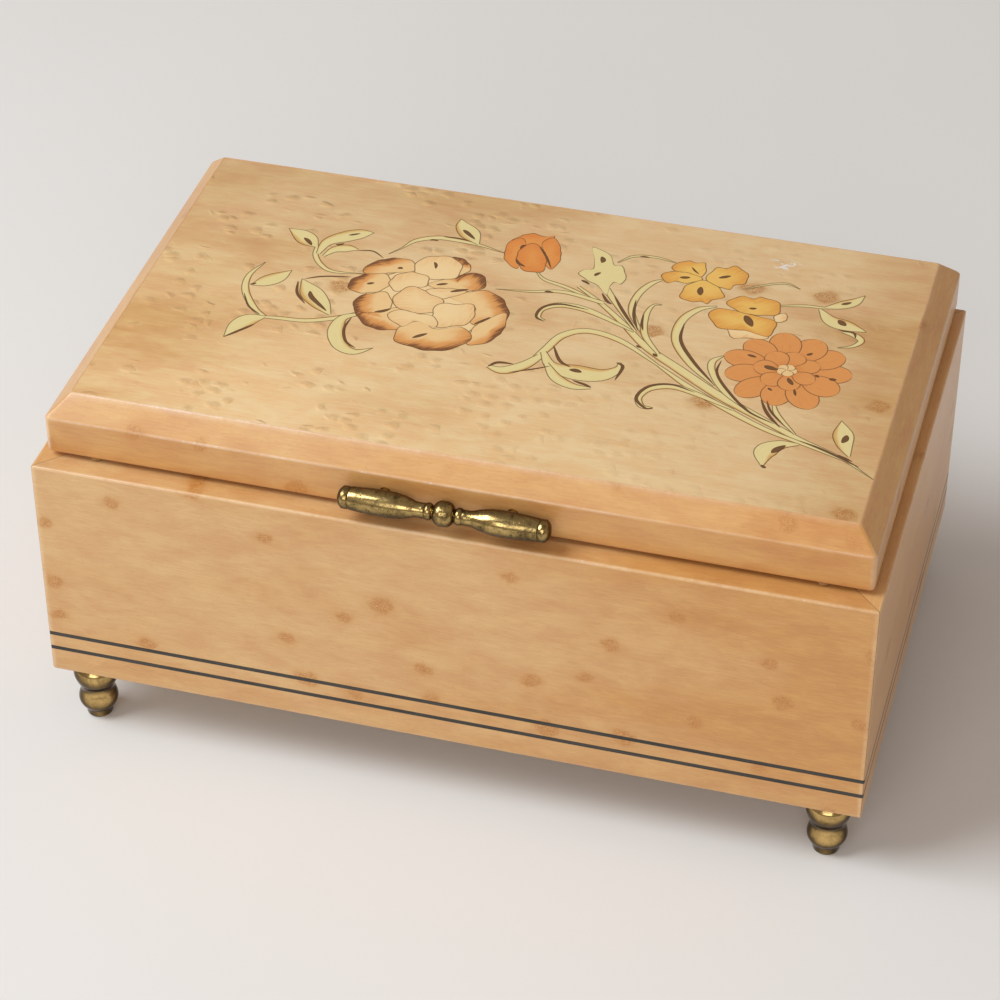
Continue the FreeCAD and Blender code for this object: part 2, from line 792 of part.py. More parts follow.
def make_hinges():
    """Two butt hinges of three knuckles. A heel behind the lid's knuckle meets the back at the stop."""
    knuckle = (hinge_length - knuckle_gap * 2) / 3
    bore = pin_radius + running_gap
    heel_drop = (hinge_offset - stop_gap + heel_reach * cosine(stop_angle)) / sine(stop_angle)
    pins = []
    for hand, x in hinge_xs.items():
        start = x - hinge_length / 2
        stations = [start, start + knuckle + knuckle_gap, start + (knuckle + knuckle_gap) * 2]
        pins.append(rod("hinge_pin_" + hand, (start, hinge_y, hinge_z), pin_radius, hinge_length, ALONG_X))
        for side, owned, low_z in (("case", (0, 2), rim_z - leaf), ("lid", (1,), lid_z)):
            name = "hinge_" + side + "_leaf_" + hand
            low = (start, back_y - leaf_width, low_z)
            members = [block(name + "_plate", low, (start + hinge_length, back_y, low_z + leaf))]
            for index in owned:
                left = stations[index]
                tag = name + "_" + str(index)
                strap_high = (left + knuckle, hinge_y, low_z + leaf)
                members.append(block(tag + "_strap", (left, back_y - leaf, low_z), strap_high))
                centre = (left, hinge_y, hinge_z)
                members.append(rod(tag + "_knuckle", centre, knuckle_radius, knuckle, ALONG_X))
                if side == "lid":
                    heel_low = (left, hinge_y, hinge_z - heel_drop)
                    heel_high = (left + knuckle, hinge_y + heel_reach, hinge_z)
                    members.append(block(tag + "_heel", heel_low, heel_high))
            bore_start = (start - overrun, hinge_y, hinge_z)
            tools = [rod(name + "_bore", bore_start, bore, hinge_length + overrun * 2, ALONG_X)]
            for index, (screw_x, screw_y) in enumerate(leaf_screw_places()):
                if abs(screw_x.value - x.value) < hinge_length.value / 2:
                    hole_low = (screw_x, screw_y, low_z - overrun)
                    tag = name + "_hole_" + str(index)
                    tools.append(rod(tag, hole_low, leaf_screw_head + seat_gap, leaf + overrun * 2))
            piece(name, cut(name, fuse(name + "_solid", *members), *tools))
    piece("hinge_pins", group("hinge_pins", pins))
    for side, turn, z in (("case", DOWNWARD, rim_z - leaf), ("lid", UPRIGHT, lid_z + leaf)):
        screws = []
        for index, (x, y) in enumerate(leaf_screw_places()):
            name = side + "_leaf_screw_" + str(index)
            shank = (leaf_screw_shank, leaf_screw_length)
            screws.append(screw(name, (x, y, z), turn, leaf_screw_head, leaf, *shank))
        piece("hinge_" + side + "_screws", group("hinge_" + side + "_screws", screws))


def post_places():
    """Points on the lid's front edge where the posts of the pull stand."""
    return [(post_spacing / 2 * hand, lid_low[1], lid_z + pull_height) for hand in (-1, 1)]


def make_lid():
    """Bevelled panel with its veneer, lining and bumpers."""
    shoulder = bevel - veneer
    slab = block("lid_slab", (*lid_low, lid_z), (*lid_high, bevel_z))
    slope = frustum("lid_slope", lid_low, lid_high, bevel_z, shoulder)
    recess_low = (lid_low[0] + lid_margin, lid_low[1] + lid_margin)
    recess_high = (lid_high[0] - lid_margin, lid_high[1] - lid_margin)
    recess = block("lid_recess_cut", (*recess_low, lid_z - overrun), (*recess_high, lid_z + lid_recess))
    tools = [recess] + mortises("lid", lid_z - overrun, lid_z + leaf) + pilot_holes("lid")
    for index, (x, y, z) in enumerate(post_places()):
        hole = rod("post_hole_" + str(index), (x, y - overrun, z), post_shank + seat_gap,
                   overrun + post_shank_length + seat_gap, ALONG_Y)
        tools.append(hole)
    piece("lid_panel", cut("lid_panel", fuse("lid_blank", slab, slope), *tools))
    top_low = (lid_low[0] + shoulder, lid_low[1] + shoulder)
    top_high = (lid_high[0] - shoulder, lid_high[1] - shoulder)
    piece("lid_veneer", frustum("lid_veneer", top_low, top_high, bevel_z + shoulder, veneer))
    card_low = [amount + seat_gap for amount in recess_low] + [lid_z + lid_recess - lid_lining_thick]
    card_high = [amount - seat_gap for amount in recess_high] + [lid_z + lid_recess]
    piece("lid_lining", block("lid_lining", card_low, card_high))
    rest_y = (lid_low[1] + inner_front) / 2
    dots = []
    for index, hand in enumerate((-1, 1)):
        at = ((case_length / 2 - bumper_from_side) * hand, rest_y, lid_z - bumper_thick)
        dots.append(rod("lid_bumper_" + str(index), at, bumper_radius, bumper_thick))
    piece("lid_bumpers", group("lid_bumpers", dots))


def make_pull():
    """Turned bar with domed ends, two swelling lobes, rings and a centre bead, on two posts."""
    end = pull_length / 2
    cap = end - pull_dome
    cap_end = cap - pull_cap
    waist = pull_waist / 2
    bead = bead_length / 2
    groove = pull_neck * pull_groove_share
    ring_start = bead + ring_length
    groove_floor = pull_end - pull_cap_groove
    half = [
        (pull_end, cap, pull_dome * dome_bow_share),
        (pull_end, cap_end),
        (groove_floor, cap_end - pull_cap_groove),
        (pull_end, cap_end - pull_cap_groove * 2),
        (pull_lobe, lobe_spacing / 2, (pull_lobe - pull_end) * dome_bow_share),
        (pull_neck, waist, (pull_lobe - pull_neck) * dome_bow_share),
        (pull_neck, ring_start),
        (groove, bead, pull_ring - (pull_neck + groove) / 2),
    ]
    mirrored = []
    for index in range(len(half) - 1, -1, -1):
        radius, height = half[index][:2]
        bow = half[index + 1][2:] if index + 1 < len(half) else (pull_bead - groove,)
        mirrored.append((radius, -height, *bow))
    profile = [(0, end)] + half + mirrored + [(0, -end, *half[0][2:])]
    bar_y = lid_low[1] - pull_standoff
    piece("pull_bar", turned("pull_bar", profile, (0, bar_y, lid_z + pull_height), ALONG_X))
    post = [
        (0, post_shank_length),
        (post_shank, post_shank_length),
        (post_shank, 0),
        (post_radius, 0),
        (post_radius, -pull_standoff),
        (0, -pull_standoff),
    ]
    posts = [turned("pull_post_" + str(index), post, at, ALONG_Y) for index, at in enumerate(post_places())]
    piece("pull_posts", group("pull_posts", posts))


def bed_screw_places():
    """Plan centres of the screws that hold the movement to the bottom board."""
    right = bed_right - bed_screw_inset
    front = axis_y - bed_front + bed_screw_inset
    back = axis_y + bed_back - bed_screw_inset
    return [(bed_left + bed_screw_inset, front), (bed_left + bed_screw_inset, back), (right, front)]


def make_bed():
    """Bedplate with its screws from below, and the spring barrel on it."""
    slab = block("bed_slab", (bed_left, axis_y - bed_front, floor_z), (bed_right, axis_y + bed_back, bed_z))
    arbor_start = (arbor_x, axis_y, floor_z - overrun)
    tools = [rod("bed_arbor_hole", arbor_start, arbor_radius + running_gap, bedplate + overrun * 2)]
    screws = []
    screw_z = case_z + board_rise
    length = board + bedplate - loose_gap
    for index, (x, y) in enumerate(bed_screw_places()):
        name = "bed_screw_" + str(index)
        hole_start = (x, y, floor_z - overrun)
        tools.append(rod(name + "_hole", hole_start, bed_screw_shank + seat_gap, overrun + bedplate))
        head = (bed_screw_head, bed_screw_head_height)
        screws.append(screw(name, (x, y, screw_z), UPRIGHT, *head, bed_screw_shank, length))
    for index, (x, y) in enumerate(plate_screw_places() + [lever_spring_screw_place()]):
        start = (x, y, bed_z - bedplate / 2)
        name = "bed_plate_hole_" + str(index)
        tools.append(rod(name, start, plate_screw_shank + seat_gap, bedplate + overrun))
    piece("bedplate", cut("bedplate", slab, *tools))
    piece("bedplate_screws", group("bedplate_screws", screws))
    inner = barrel_radius - barrel_wall
    hole = arbor_radius + loose_gap
    drum = [
        (hole, 0),
        (barrel_radius, 0),
        (barrel_radius, barrel_height),
        (hole, barrel_height),
        (hole, barrel_height - barrel_wall),
        (inner, barrel_height - barrel_wall),
        (inner, barrel_wall),
        (hole, barrel_wall),
    ]
    piece("spring_barrel", turned("spring_barrel", drum, (arbor_x, axis_y, bed_z)))


def make_mainspring():
    """Flat spiral strip in the barrel, of half circles whose centres change sides at each half turn."""
    inner = arbor_radius.value + loose_gap.value
    outer = barrel_radius.value - barrel_wall.value - loose_gap.value
    halves = int(spring_turns.value) * 2
    step = (outer - inner - spring_thick.value) / halves
    inside = []
    outside = []
    for index in range(halves):
        side = 1 if index % 2 == 0 else -1
        centre = FreeCAD.Vector(0, 0, 0) if index % 2 == 0 else FreeCAD.Vector(step, 0, 0)
        near = inner + step * index
        for radius, edges in ((near, inside), (near + spring_thick.value, outside)):
            start = centre + FreeCAD.Vector(radius * side, 0, 0)
            top = centre + FreeCAD.Vector(0, radius * side, 0)
            end = centre - FreeCAD.Vector(radius * side, 0, 0)
            edges.append(Part.Arc(start, top, end).toShape())
    first = Part.LineSegment(outside[0].firstVertex().Point, inside[0].firstVertex().Point).toShape()
    last = Part.LineSegment(inside[-1].lastVertex().Point, outside[-1].lastVertex().Point).toShape()
    outline = Part.Wire(Part.__sortEdges__(inside + [last] + outside + [first]))
    height = barrel_height.value - barrel_wall.value * 2 - loose_gap.value * 2
    item = doc.addObject("Part::Feature", "mainspring")
    item.Shape = Part.Face(outline).extrude(FreeCAD.Vector(0, 0, height))
    print("mainspring gap between turns, mm:", round(step * 2 - spring_thick.value, 3))
    place(item, (arbor_x, axis_y, bed_z + barrel_wall + loose_gap))
    piece("mainspring", item)


def make_winding():
    """Winding arbor with the key below the box and the crown wheel above the barrel."""
    key_top = case_z + board_rise - key_drop
    arbor_low = key_top - key_thread
    shoulder = crown_z - arbor_low
    top = shoulder + crown_disc
    arbor = [
        (0, 0),
        (arbor_radius, 0),
        (arbor_radius, shoulder),
        (arbor_journal, shoulder),
        (arbor_journal, top),
        (0, top),
    ]
    piece("winding_arbor", turned("winding_arbor", arbor, (arbor_x, axis_y, arbor_low)))
    hub_low = key_top - key_hub_height
    hub = rod("key_hub_solid", (arbor_x, axis_y, hub_low), key_hub, key_hub_height)
    members = [hub]
    eyes = []
    for index, hand in enumerate((-1, 1)):
        centre = (arbor_x + key_wing_spread * hand, axis_y + key_thick / 2, hub_low)
        members.append(rod("key_wing_" + str(index), centre, key_wing, key_thick, TO_FRONT))
        eye = (centre[0], axis_y + key_thick / 2 + overrun, hub_low)
        eyes.append(rod("key_eye_" + str(index), eye, key_wing_eye, key_thick + overrun * 2, TO_FRONT))
    socket_start = (arbor_x, axis_y, arbor_low - seat_gap)
    socket = rod("key_socket", socket_start, arbor_radius + seat_gap, key_thread + overrun)
    piece("winding_key", cut("winding_key", fuse("key_solid", *members), socket, *eyes))
    half_tooth = 180 / crown_teeth
    item = body("crown_wheel", (arbor_x, axis_y, crown_z), turned_by(half_tooth.value))
    disc = sketch(item, "XY_Plane")
    draw_circle(disc, (0, 0), crown_radius + crown_face / 2)
    draw_circle(disc, (0, 0), arbor_journal + seat_gap)
    pad(item, disc, crown_disc)
    tooth = sketch(item, "YZ_Plane", crown_radius - crown_face / 2)
    low = crown_disc - train_module * tooth_sink_share
    high = crown_disc + tooth_height
    root_half = train_module * tooth_root_share
    tip_half = train_module * tooth_tip_share
    draw_outline(tooth, [(-root_half, low), (root_half, low), (tip_half, high), (-tip_half, high)])
    repeat_round(item, pad(item, tooth, crown_face), crown_teeth)
    piece("crown_wheel", item)


def make_cylinder():
    """Pinned music cylinder on its arbor, with the pinion at one end and the wheel at the other."""
    downward = as_size(-90)
    arbor_start = pinion_x - side_gap
    arbor_length = outer_plate_x + plate_thick - arbor_start
    pinion_arbor("cylinder_arbor", pinion_teeth, train_module, cylinder_arbor_radius, arbor_length,
                 side_gap, crown_face, (arbor_start, axis_y, axis_z), downward)
    bore = cylinder_arbor_radius + seat_gap
    inner = cylinder_radius - cylinder_wall
    drum = [
        (bore, 0),
        (cylinder_radius, 0),
        (cylinder_radius, cylinder_length),
        (bore, cylinder_length),
        (bore, cylinder_length - cylinder_wall),
        (inner, cylinder_length - cylinder_wall),
        (inner, cylinder_wall),
        (bore, cylinder_wall),
    ]
    piece("music_cylinder", turned("music_cylinder", drum, (cylinder_x, axis_y, axis_z), TRAIN))
    wheel_at = (wheel_x, axis_y, axis_z)
    spur_wheel("cylinder_wheel", wheel_teeth, train_module, wheel_thick, bore, wheel_at, second_angle)
    sunk = cylinder_radius - cylinder_wall / 2
    golden_turn = 360 * (3 - math.sqrt(5)) / 2
    pins = []
    for note in range(int(note_count.value)):
        along = note_gap + note_pitch * (note + 1) - note_pitch / 2
        for beat in range(int(pins_per_note.value)):
            angle = golden_turn * note + 360 * beat / pins_per_note.value
            out = FreeCAD.Vector(math.cos(math.radians(angle)), math.sin(math.radians(angle)), 0)
            start = out * sunk.value + FreeCAD.Vector(0, 0, along.value)
            pins.append(Part.makeCylinder(music_pin_radius.value, (pin_tip - sunk).value, start, out))
    item = doc.addObject("Part::Feature", "cylinder_pins")
    item.Shape = Part.makeCompound(pins)
    place(item, (cylinder_x, axis_y, axis_z), TRAIN)
    piece("cylinder_pins", item)


def make_governor():
    """Second wheel and fan between the governor plates, which also carry the cylinder's arbor."""
    span = outer_plate_x + plate_thick - inner_plate_x
    half_turn = 180
    second_phase = second_angle + half_turn + half_turn / second_pinion_teeth
    fan_phase = fan_angle + half_turn + half_turn / fan_pinion_teeth
    second_at = (inner_plate_x, second_y, second_z)
    pinion_arbor("second_arbor", second_pinion_teeth, train_module, second_arbor_radius, span,
                 wheel_x - inner_plate_x, wheel_thick, second_at, second_phase)
    spur_wheel("second_wheel", second_wheel_teeth, fan_module, wheel_thick, second_arbor_radius + seat_gap,
               (second_wheel_x, second_y, second_z), fan_angle)
    fan_at = (inner_plate_x, fan_y, fan_z)
    pinion_arbor("fan_arbor", fan_pinion_teeth, fan_module, fan_arbor_radius, span,
                 second_wheel_x - inner_plate_x, wheel_thick, fan_at, fan_phase)
    blade_low = (fan_x, fan_y - fan_radius, fan_z - fan_blade / 2)
    blade_high = (fan_x + fan_width, fan_y + fan_radius, fan_z + fan_blade / 2)
    hub = rod("fan_hub_solid", (fan_x, fan_y, fan_z), fan_hub, fan_width, ALONG_X)
    solid = fuse("fan_solid", block("fan_blade_solid", blade_low, blade_high), hub)
    bore_start = (fan_x - overrun, fan_y, fan_z)
    bore = rod("fan_bore", bore_start, fan_arbor_radius + seat_gap, fan_width + overrun * 2, ALONG_X)
    piece("fan_blades", cut("fan_blades", solid, bore))
    base = bed_z - axis_z
    low_y = -plate_margin
    high_y = fan_y - axis_y + plate_margin
    drop = finger_z - finger_radius - loose_gap * 2 - axis_z
    step_y = finger_y - finger_radius - loose_gap * 2 - axis_y
    corners = [
        (low_y, base),
        (high_y, base),
        (high_y, drop),
        (step_y, drop),
        (plate_margin * 2, plate_margin),
        (low_y, plate_margin),
    ]
    holes = [
        ((0, 0), cylinder_arbor_radius + running_gap),
        ((second_y - axis_y, second_z - axis_z), second_arbor_radius + running_gap),
        ((fan_y - axis_y, fan_z - axis_z), fan_arbor_radius + running_gap),
    ]
    stud_start = (outer_plate_x, axis_y + lever_pivot_y, axis_z + lever_pivot_z)
    stud_length = plate_thick + lever_gap + lever_thick + loose_gap
    stud = rod("lever_stud_solid", stud_start, lever_stud, stud_length, ALONG_X)
    foot_high = (fan_y - axis_y) / 2
    for label, x, foot_x in (
        ("governor_inner_plate", inner_plate_x, inner_plate_x - plate_foot),
        ("governor_outer_plate", outer_plate_x, outer_plate_x + plate_thick),
    ):
        upright = plate(label + "_upright", corners, holes, plate_thick, (x, axis_y, axis_z), TRAIN)
        foot_end = (foot_x + plate_foot, axis_y + foot_high, bed_z + plate_thick)
        foot = block(label + "_foot", (foot_x, axis_y - plate_margin, bed_z), foot_end)
        members = [upright, foot]
        if x is outer_plate_x:
            members.append(stud)
        piece(label, cut(label, fuse(label + "_solid", *members), *foot_holes(label)))
    half = bearing_width / 2
    corners = [(-half, base), (half, base), (half, plate_margin), (-half, plate_margin)]
    bearing_at = (bearing_x, axis_y, axis_z)
    upright = plate("bearing_upright", corners, holes[:1], plate_thick, bearing_at, TRAIN)
    foot_low = (bearing_x + plate_thick, axis_y - half, bed_z)
    foot_end = (bearing_x + plate_thick + plate_foot, axis_y + half, bed_z + plate_thick)
    bearing = fuse("bearing_solid", upright, block("bearing_foot", foot_low, foot_end))
    piece("cylinder_bearing", cut("cylinder_bearing", bearing, *foot_holes("bearing")))
    seats = [(*spot, plate_thick) for spot in plate_screw_places()]
    seats.append((*lever_spring_screw_place(), lever_spring_thick))
    screws = []
    for index, (x, y, through) in enumerate(seats):
        name = "plate_screw_" + str(index)
        length = through + bedplate / 2 - seat_gap
        head = (plate_screw_head, plate_screw_head_height)
        screws.append(screw(name, (x, y, bed_z + through), DOWNWARD, *head, plate_screw_shank, length))
    piece("plate_screws", group("plate_screws", screws))


def plate_screw_places():
    """Plan centres of the screws through the feet of the bearing and the governor plates."""
    reach = plate_foot / 2
    return [
        (bearing_x + plate_thick + reach, axis_y),
        (inner_plate_x - reach, axis_y),
        (outer_plate_x + plate_thick + reach, axis_y),
    ]


def lever_spring_screw_place():
    """Plan centre of the screw that holds the lever spring."""
    return (spring_x, axis_y + bed_back - bed_edge - plate_screw_head)


def foot_holes(tag):
    """Screw holes through the feet of the upright plates."""
    holes = []
    for index, (x, y) in enumerate(plate_screw_places()):
        start = (x, y, bed_z - overrun)
        name = tag + "_foot_hole_" + str(index)
        holes.append(rod(name, start, plate_screw_shank + seat_gap, overrun + plate_thick))
    return holes


def comb_screw_places():
    """Plan centres of the screws through the comb."""
    quarter = note_count * note_pitch / 4
    y = comb_y - comb_tooth - comb_base / 2
    return [(cylinder_x + note_gap + quarter * step, y) for step in (1, 3)]


def make_comb():
    """Steel comb on its block, one tooth for each note."""
    width = note_count * note_pitch
    depth = comb_tooth + comb_base
    at = (cylinder_x + note_gap, comb_y, comb_z)
    holes = []
    for x, y in comb_screw_places():
        holes.append(((x - at[0], y - at[1]), comb_screw_shank + seat_gap))
    item = plate("comb", [(0, 0), (0, -depth), (width, -depth), (width, 0)], holes, comb_thick, at)
    slot = sketch(item, "XY_Plane")
    half_gap = note_gap / 2
    low_x = note_pitch - half_gap
    high_x = note_pitch + half_gap
    draw_outline(slot, [(low_x, overrun), (low_x, -comb_tooth), (high_x, -comb_tooth), (high_x, overrun)])
    pocket = item.newObject("PartDesign::Pocket", "comb_slot")
    pocket.Profile = slot
    pocket.Type = "ThroughAll"
    pocket.Midplane = True
    doc.recompute()
    pattern = item.newObject("PartDesign::LinearPattern", "comb_slots")
    pattern.Originals = [pocket]
    pattern.Direction = (origin_of(item, "X_Axis"), [""])
    bind(pattern, "Length", note_pitch * (note_count - 2))
    bind(pattern, "Occurrences", note_count - 1)
    item.Tip = pattern
    piece("comb", item)
    block_low = (at[0], comb_y - depth, bed_z)
    support = block("comb_block_solid", block_low, (at[0] + width, comb_y - comb_tooth, comb_z))
    wells = []
    screws = []
    for index, (x, y) in enumerate(comb_screw_places()):
        name = "comb_screw_" + str(index)
        start = (x, y, comb_z + comb_thick)
        well = (comb_screw_shank + seat_gap, comb_screw_length + seat_gap)
        wells.append(rod(name + "_well", start, *well, DOWNWARD))
        head = (comb_screw_head, comb_screw_head_height)
        screws.append(screw(name, start, DOWNWARD, *head, comb_screw_shank, comb_screw_length))
    piece("comb_block", cut("comb_block", support, *wells))
    piece("comb_screws", group("comb_screws", screws))


def make_stop_work():
    """Glass over the movement with the rod that the lid presses, and the lever that brakes the fan."""
    pivot_y = axis_y + lever_pivot_y
    pivot_z = axis_z + lever_pivot_z
    rod_x = lever_x + lever_thick / 2
    rod_y = pivot_y + rod_arm
    slope_rise = sine(lever_slope) / cosine(lever_slope)
    half = lever_width / 2
    corner_z = pivot_z - rod_arm * slope_rise
    tip_y = finger_y - pivot_y
    tip_z = finger_z - pivot_z
    bend_z = corner_z - pivot_z
    corners = [
        (0, half),
        (0, -half),
        (rod_arm, bend_z - half),
        (tip_y - half, tip_z - half),
        (tip_y + half, tip_z - half),
        (tip_y + half, tip_z + half),
        (rod_arm, bend_z + half),
    ]
    arm = plate("lever_arm", corners, [], lever_thick, (lever_x, pivot_y, pivot_z), TRAIN)
    hub = rod("lever_hub_solid", (lever_x, pivot_y, pivot_z), lever_hub, lever_thick, ALONG_X)
    finger_length = lever_x + lever_thick - fan_x - fan_width / 2
    finger_start = (fan_x + fan_width / 2, finger_y, finger_z)
    finger = rod("lever_finger", finger_start, finger_radius, finger_length, ALONG_X)
    bore_start = (lever_x - overrun, pivot_y, pivot_z)
    bore = rod("lever_bore", bore_start, lever_stud + running_gap, lever_thick + overrun * 2, ALONG_X)
    piece("stop_lever", cut("stop_lever", fuse("lever_solid", arm, hub, finger), bore))
    rod_low = corner_z + half + rod_clear
    rod_high = lid_z + lid_recess - lid_lining_thick - rod_clear
    length = rod_high - rod_low
    profile = [
        (0, 0),
        (rod_radius, rod_radius, -rod_radius * quarter_bow_share),
        (rod_radius, length),
        (0, length),
    ]
    piece("stop_rod", turned("stop_rod", profile, (rod_x, rod_y, rod_low)))
    outer = rod_radius + guide_wall
    guide = [
        (rod_radius + running_gap, -pane),
        (outer, -pane),
        (outer, 0),
        (guide_flange, 0),
        (guide_flange, guide_flange_thick),
        (rod_radius + running_gap, guide_flange_thick),
    ]
    piece("rod_guide", turned("rod_guide", guide, (rod_x, rod_y, pane_z + pane)))
    glass_low = (lined_left + seat_gap, bay_front + seat_gap, pane_z)
    glass_high = (bay_right - seat_gap, lined_back - seat_gap, pane_z + pane)
    hole = rod("pane_hole", (rod_x, rod_y, pane_z - overrun), outer + seat_gap, pane + overrun * 2)
    piece("glass_pane", cut("glass_pane", block("pane_blank", glass_low, glass_high), hole))
    cleat_z = pane_z - cleat
    cleats = []
    for hand, x in (("left", lined_left), ("right", bay_right - cleat / 2)):
        cleat_high = (x + cleat / 2, lined_back, pane_z)
        cleats.append(block(hand + "_cleat", (x, bay_front, cleat_z), cleat_high))
    piece("pane_cleats", group("pane_cleats", cleats))
    screw_x, screw_y = lever_spring_screw_place()
    strip_top = finger_z - half - loose_gap
    low_y = finger_y - axis_y - lever_width
    bend_y = finger_y - axis_y + lever_width
    end_y = bed_back - bed_edge
    low_z = bed_z - axis_z
    high_z = strip_top - axis_z
    thick = lever_spring_thick
    corners = [
        (bend_y, low_z),
        (end_y, low_z),
        (end_y, low_z + thick),
        (bend_y + thick, low_z + thick),
        (bend_y + thick, high_z),
        (low_y, high_z),
        (low_y, high_z - thick),
        (bend_y, high_z - thick),
    ]
    strip_at = (spring_x - lever_thick, axis_y, axis_z)
    strip = plate("lever_spring_strip", corners, [], lever_thick * 2, strip_at, TRAIN)
    well_start = (screw_x, screw_y, bed_z - overrun)
    well = rod("lever_spring_hole", well_start, plate_screw_shank + seat_gap, overrun * 2)
    piece("lever_spring", cut("lever_spring", strip, well))


make_case()
make_feet()
make_lining()
make_hinges()
make_lid()
make_pull()
make_bed()
make_mainspring()
make_winding()
make_cylinder()
make_governor()
make_comb()
make_stop_work()
doc.recompute()

faults = [item.Name for item in doc.Objects if "Invalid" in item.State or "Error" in item.State]
faults += [label for label, item in pieces.items() if item.Shape.isNull() or not item.Shape.isValid()]
if faults:
    raise SystemExit("failed: " + ", ".join(faults))
os.makedirs("parts", exist_ok=True)
for label, item in pieces.items():
    item.Shape.exportStep("parts/" + label + ".step")
print(len(pieces), "pieces")
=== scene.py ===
import functools
import math

import bmesh
import bpy
import numpy as np
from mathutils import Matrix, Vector


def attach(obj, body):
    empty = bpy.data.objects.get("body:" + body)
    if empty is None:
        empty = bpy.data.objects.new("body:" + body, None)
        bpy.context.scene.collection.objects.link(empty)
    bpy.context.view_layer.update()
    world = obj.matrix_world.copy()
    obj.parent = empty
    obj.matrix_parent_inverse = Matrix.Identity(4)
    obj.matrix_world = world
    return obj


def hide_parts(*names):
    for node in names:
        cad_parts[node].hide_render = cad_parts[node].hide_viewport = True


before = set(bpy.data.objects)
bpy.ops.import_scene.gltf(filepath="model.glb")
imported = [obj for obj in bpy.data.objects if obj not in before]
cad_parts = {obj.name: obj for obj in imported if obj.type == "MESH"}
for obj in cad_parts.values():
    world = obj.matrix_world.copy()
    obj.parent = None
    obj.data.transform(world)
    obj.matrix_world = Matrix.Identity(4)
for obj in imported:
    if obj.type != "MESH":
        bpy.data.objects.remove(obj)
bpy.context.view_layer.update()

# Musical jewelry box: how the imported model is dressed, lit and seen. Sizes are in millimetres unless said.
MM = 0.001

# Sizes repeated from the part's source
CASE_HALF = (100.0, 61.0)
CASE_MIDDLE = (0.0, -1.6)
CASE_Z = 17.0
CASE_HEIGHT = 62.0
WALL = 9.0
LINE_LOW = 6.45
LINE_PITCH = 4.45
LINE_WIDTH = 1.1
LINE_DEPTH = 0.8
LID_HALF = (97.6, 58.5)
LID_MIDDLE = (0.0, 0.9)
LID_Z = 80.2
LID_EDGE = 9.6
BEVEL = 5.0
LID_TOP = LID_Z + LID_EDGE + BEVEL
LID_MARGIN = 12.0
LID_RECESS = 3.0
VENEER = 0.8
HINGE_X = 62.0
HINGE_HALF = 12.52
LEAF = 0.9
LEAF_WIDTH = 6.22
FOOT_PLACES = {
    "front_left": (-91.6, -56.0),
    "front_right": (91.6, -56.0),
    "back_left": (-91.6, 52.8),
    "back_right": (91.6, 52.8),
}
PULL_PLACE = (0.0, -61.6, 85.0)
FLOOR_Z = 22.0
LINING = 1.0
LINING_HEIGHT = 55.5


# Shader wiring

class Wiring:
    """Adds nodes to one tree. Each call feeds the inputs in order and returns the socket with the result."""

    def __init__(self, tree):
        self.tree = tree

    def feed(self, socket, value):
        """Links a socket, sets a plain value, with an alpha of one for a colour, or leaves the input as it is for
        None."""
        if isinstance(value, bpy.types.NodeSocket):
            self.tree.links.new(value, socket)
        elif value is not None:
            socket.default_value = (*value, 1) if socket.type == "RGBA" else value

    def add(self, kind, *inputs, out=0, **settings):
        """One node of a kind with its settings, its inputs fed in order."""
        node = self.tree.nodes.new(kind)
        for name, value in settings.items():
            setattr(node, name, value)
        for socket, value in zip(node.inputs, inputs):
            self.feed(socket, value)
        return node.outputs[out]

    def calc(self, operation, *values, clamp=False):
        """One arithmetic step."""
        return self.add("ShaderNodeMath", *values, operation=operation, use_clamp=clamp)

    def times(self, *values, clamp=False):
        """Product of two values."""
        return self.calc("MULTIPLY", *values, clamp=clamp)

    def span(self, value, low, high, start=0.0, end=1.0):
        """Smooth step of a value from start at low to end at high."""
        return self.add("ShaderNodeMapRange", value, low, high, start, end, interpolation_type="SMOOTHSTEP")

    def mix(self, share, first, second, mode="MIX"):
        """Blend of two colours."""
        colours = (share, None, None, None, None, None, first, second)
        return self.add("ShaderNodeMix", *colours, data_type="RGBA", blend_type=mode, out=2)

    def stretch(self, place, factors):
        """A place multiplied along its three axes."""
        return self.add("ShaderNodeVectorMath", place, factors, operation="MULTIPLY")

    def noise(self, place, scale, detail=3.0, rough=0.55, twist=0.0, out=0):
        """Cloudy noise of a place, with one scale or one for each axis."""
        if isinstance(scale, tuple):
            place, scale = self.stretch(place, scale), 1.0
        return self.add("ShaderNodeTexNoise", place, None, scale, detail, rough, None, None, None, twist, out=out)

    def cells(self, place, scale):
        """Distance to the nearest of scattered points."""
        return self.add("ShaderNodeTexVoronoi", place, None, scale)

    def scatter(self, place):
        """On a plane, the distance to the nearest of scattered points and that point's chance from 0 to 1."""
        points = self.add("ShaderNodeTexVoronoi", place, None, 1.0, voronoi_dimensions="2D").node
        return points.outputs[0], self.add("ShaderNodeSeparateColor", points.outputs[1])

    def attribute(self, name):
        """A value that the piece carries at its points."""
        return self.add("ShaderNodeAttribute", attribute_name=name, out=2)


COLOUR_SOCKETS = {"Ground", "Warm", "Eye", "Colour", "Pale", "Bright", "Tarnish", "Light", "Scorched"}


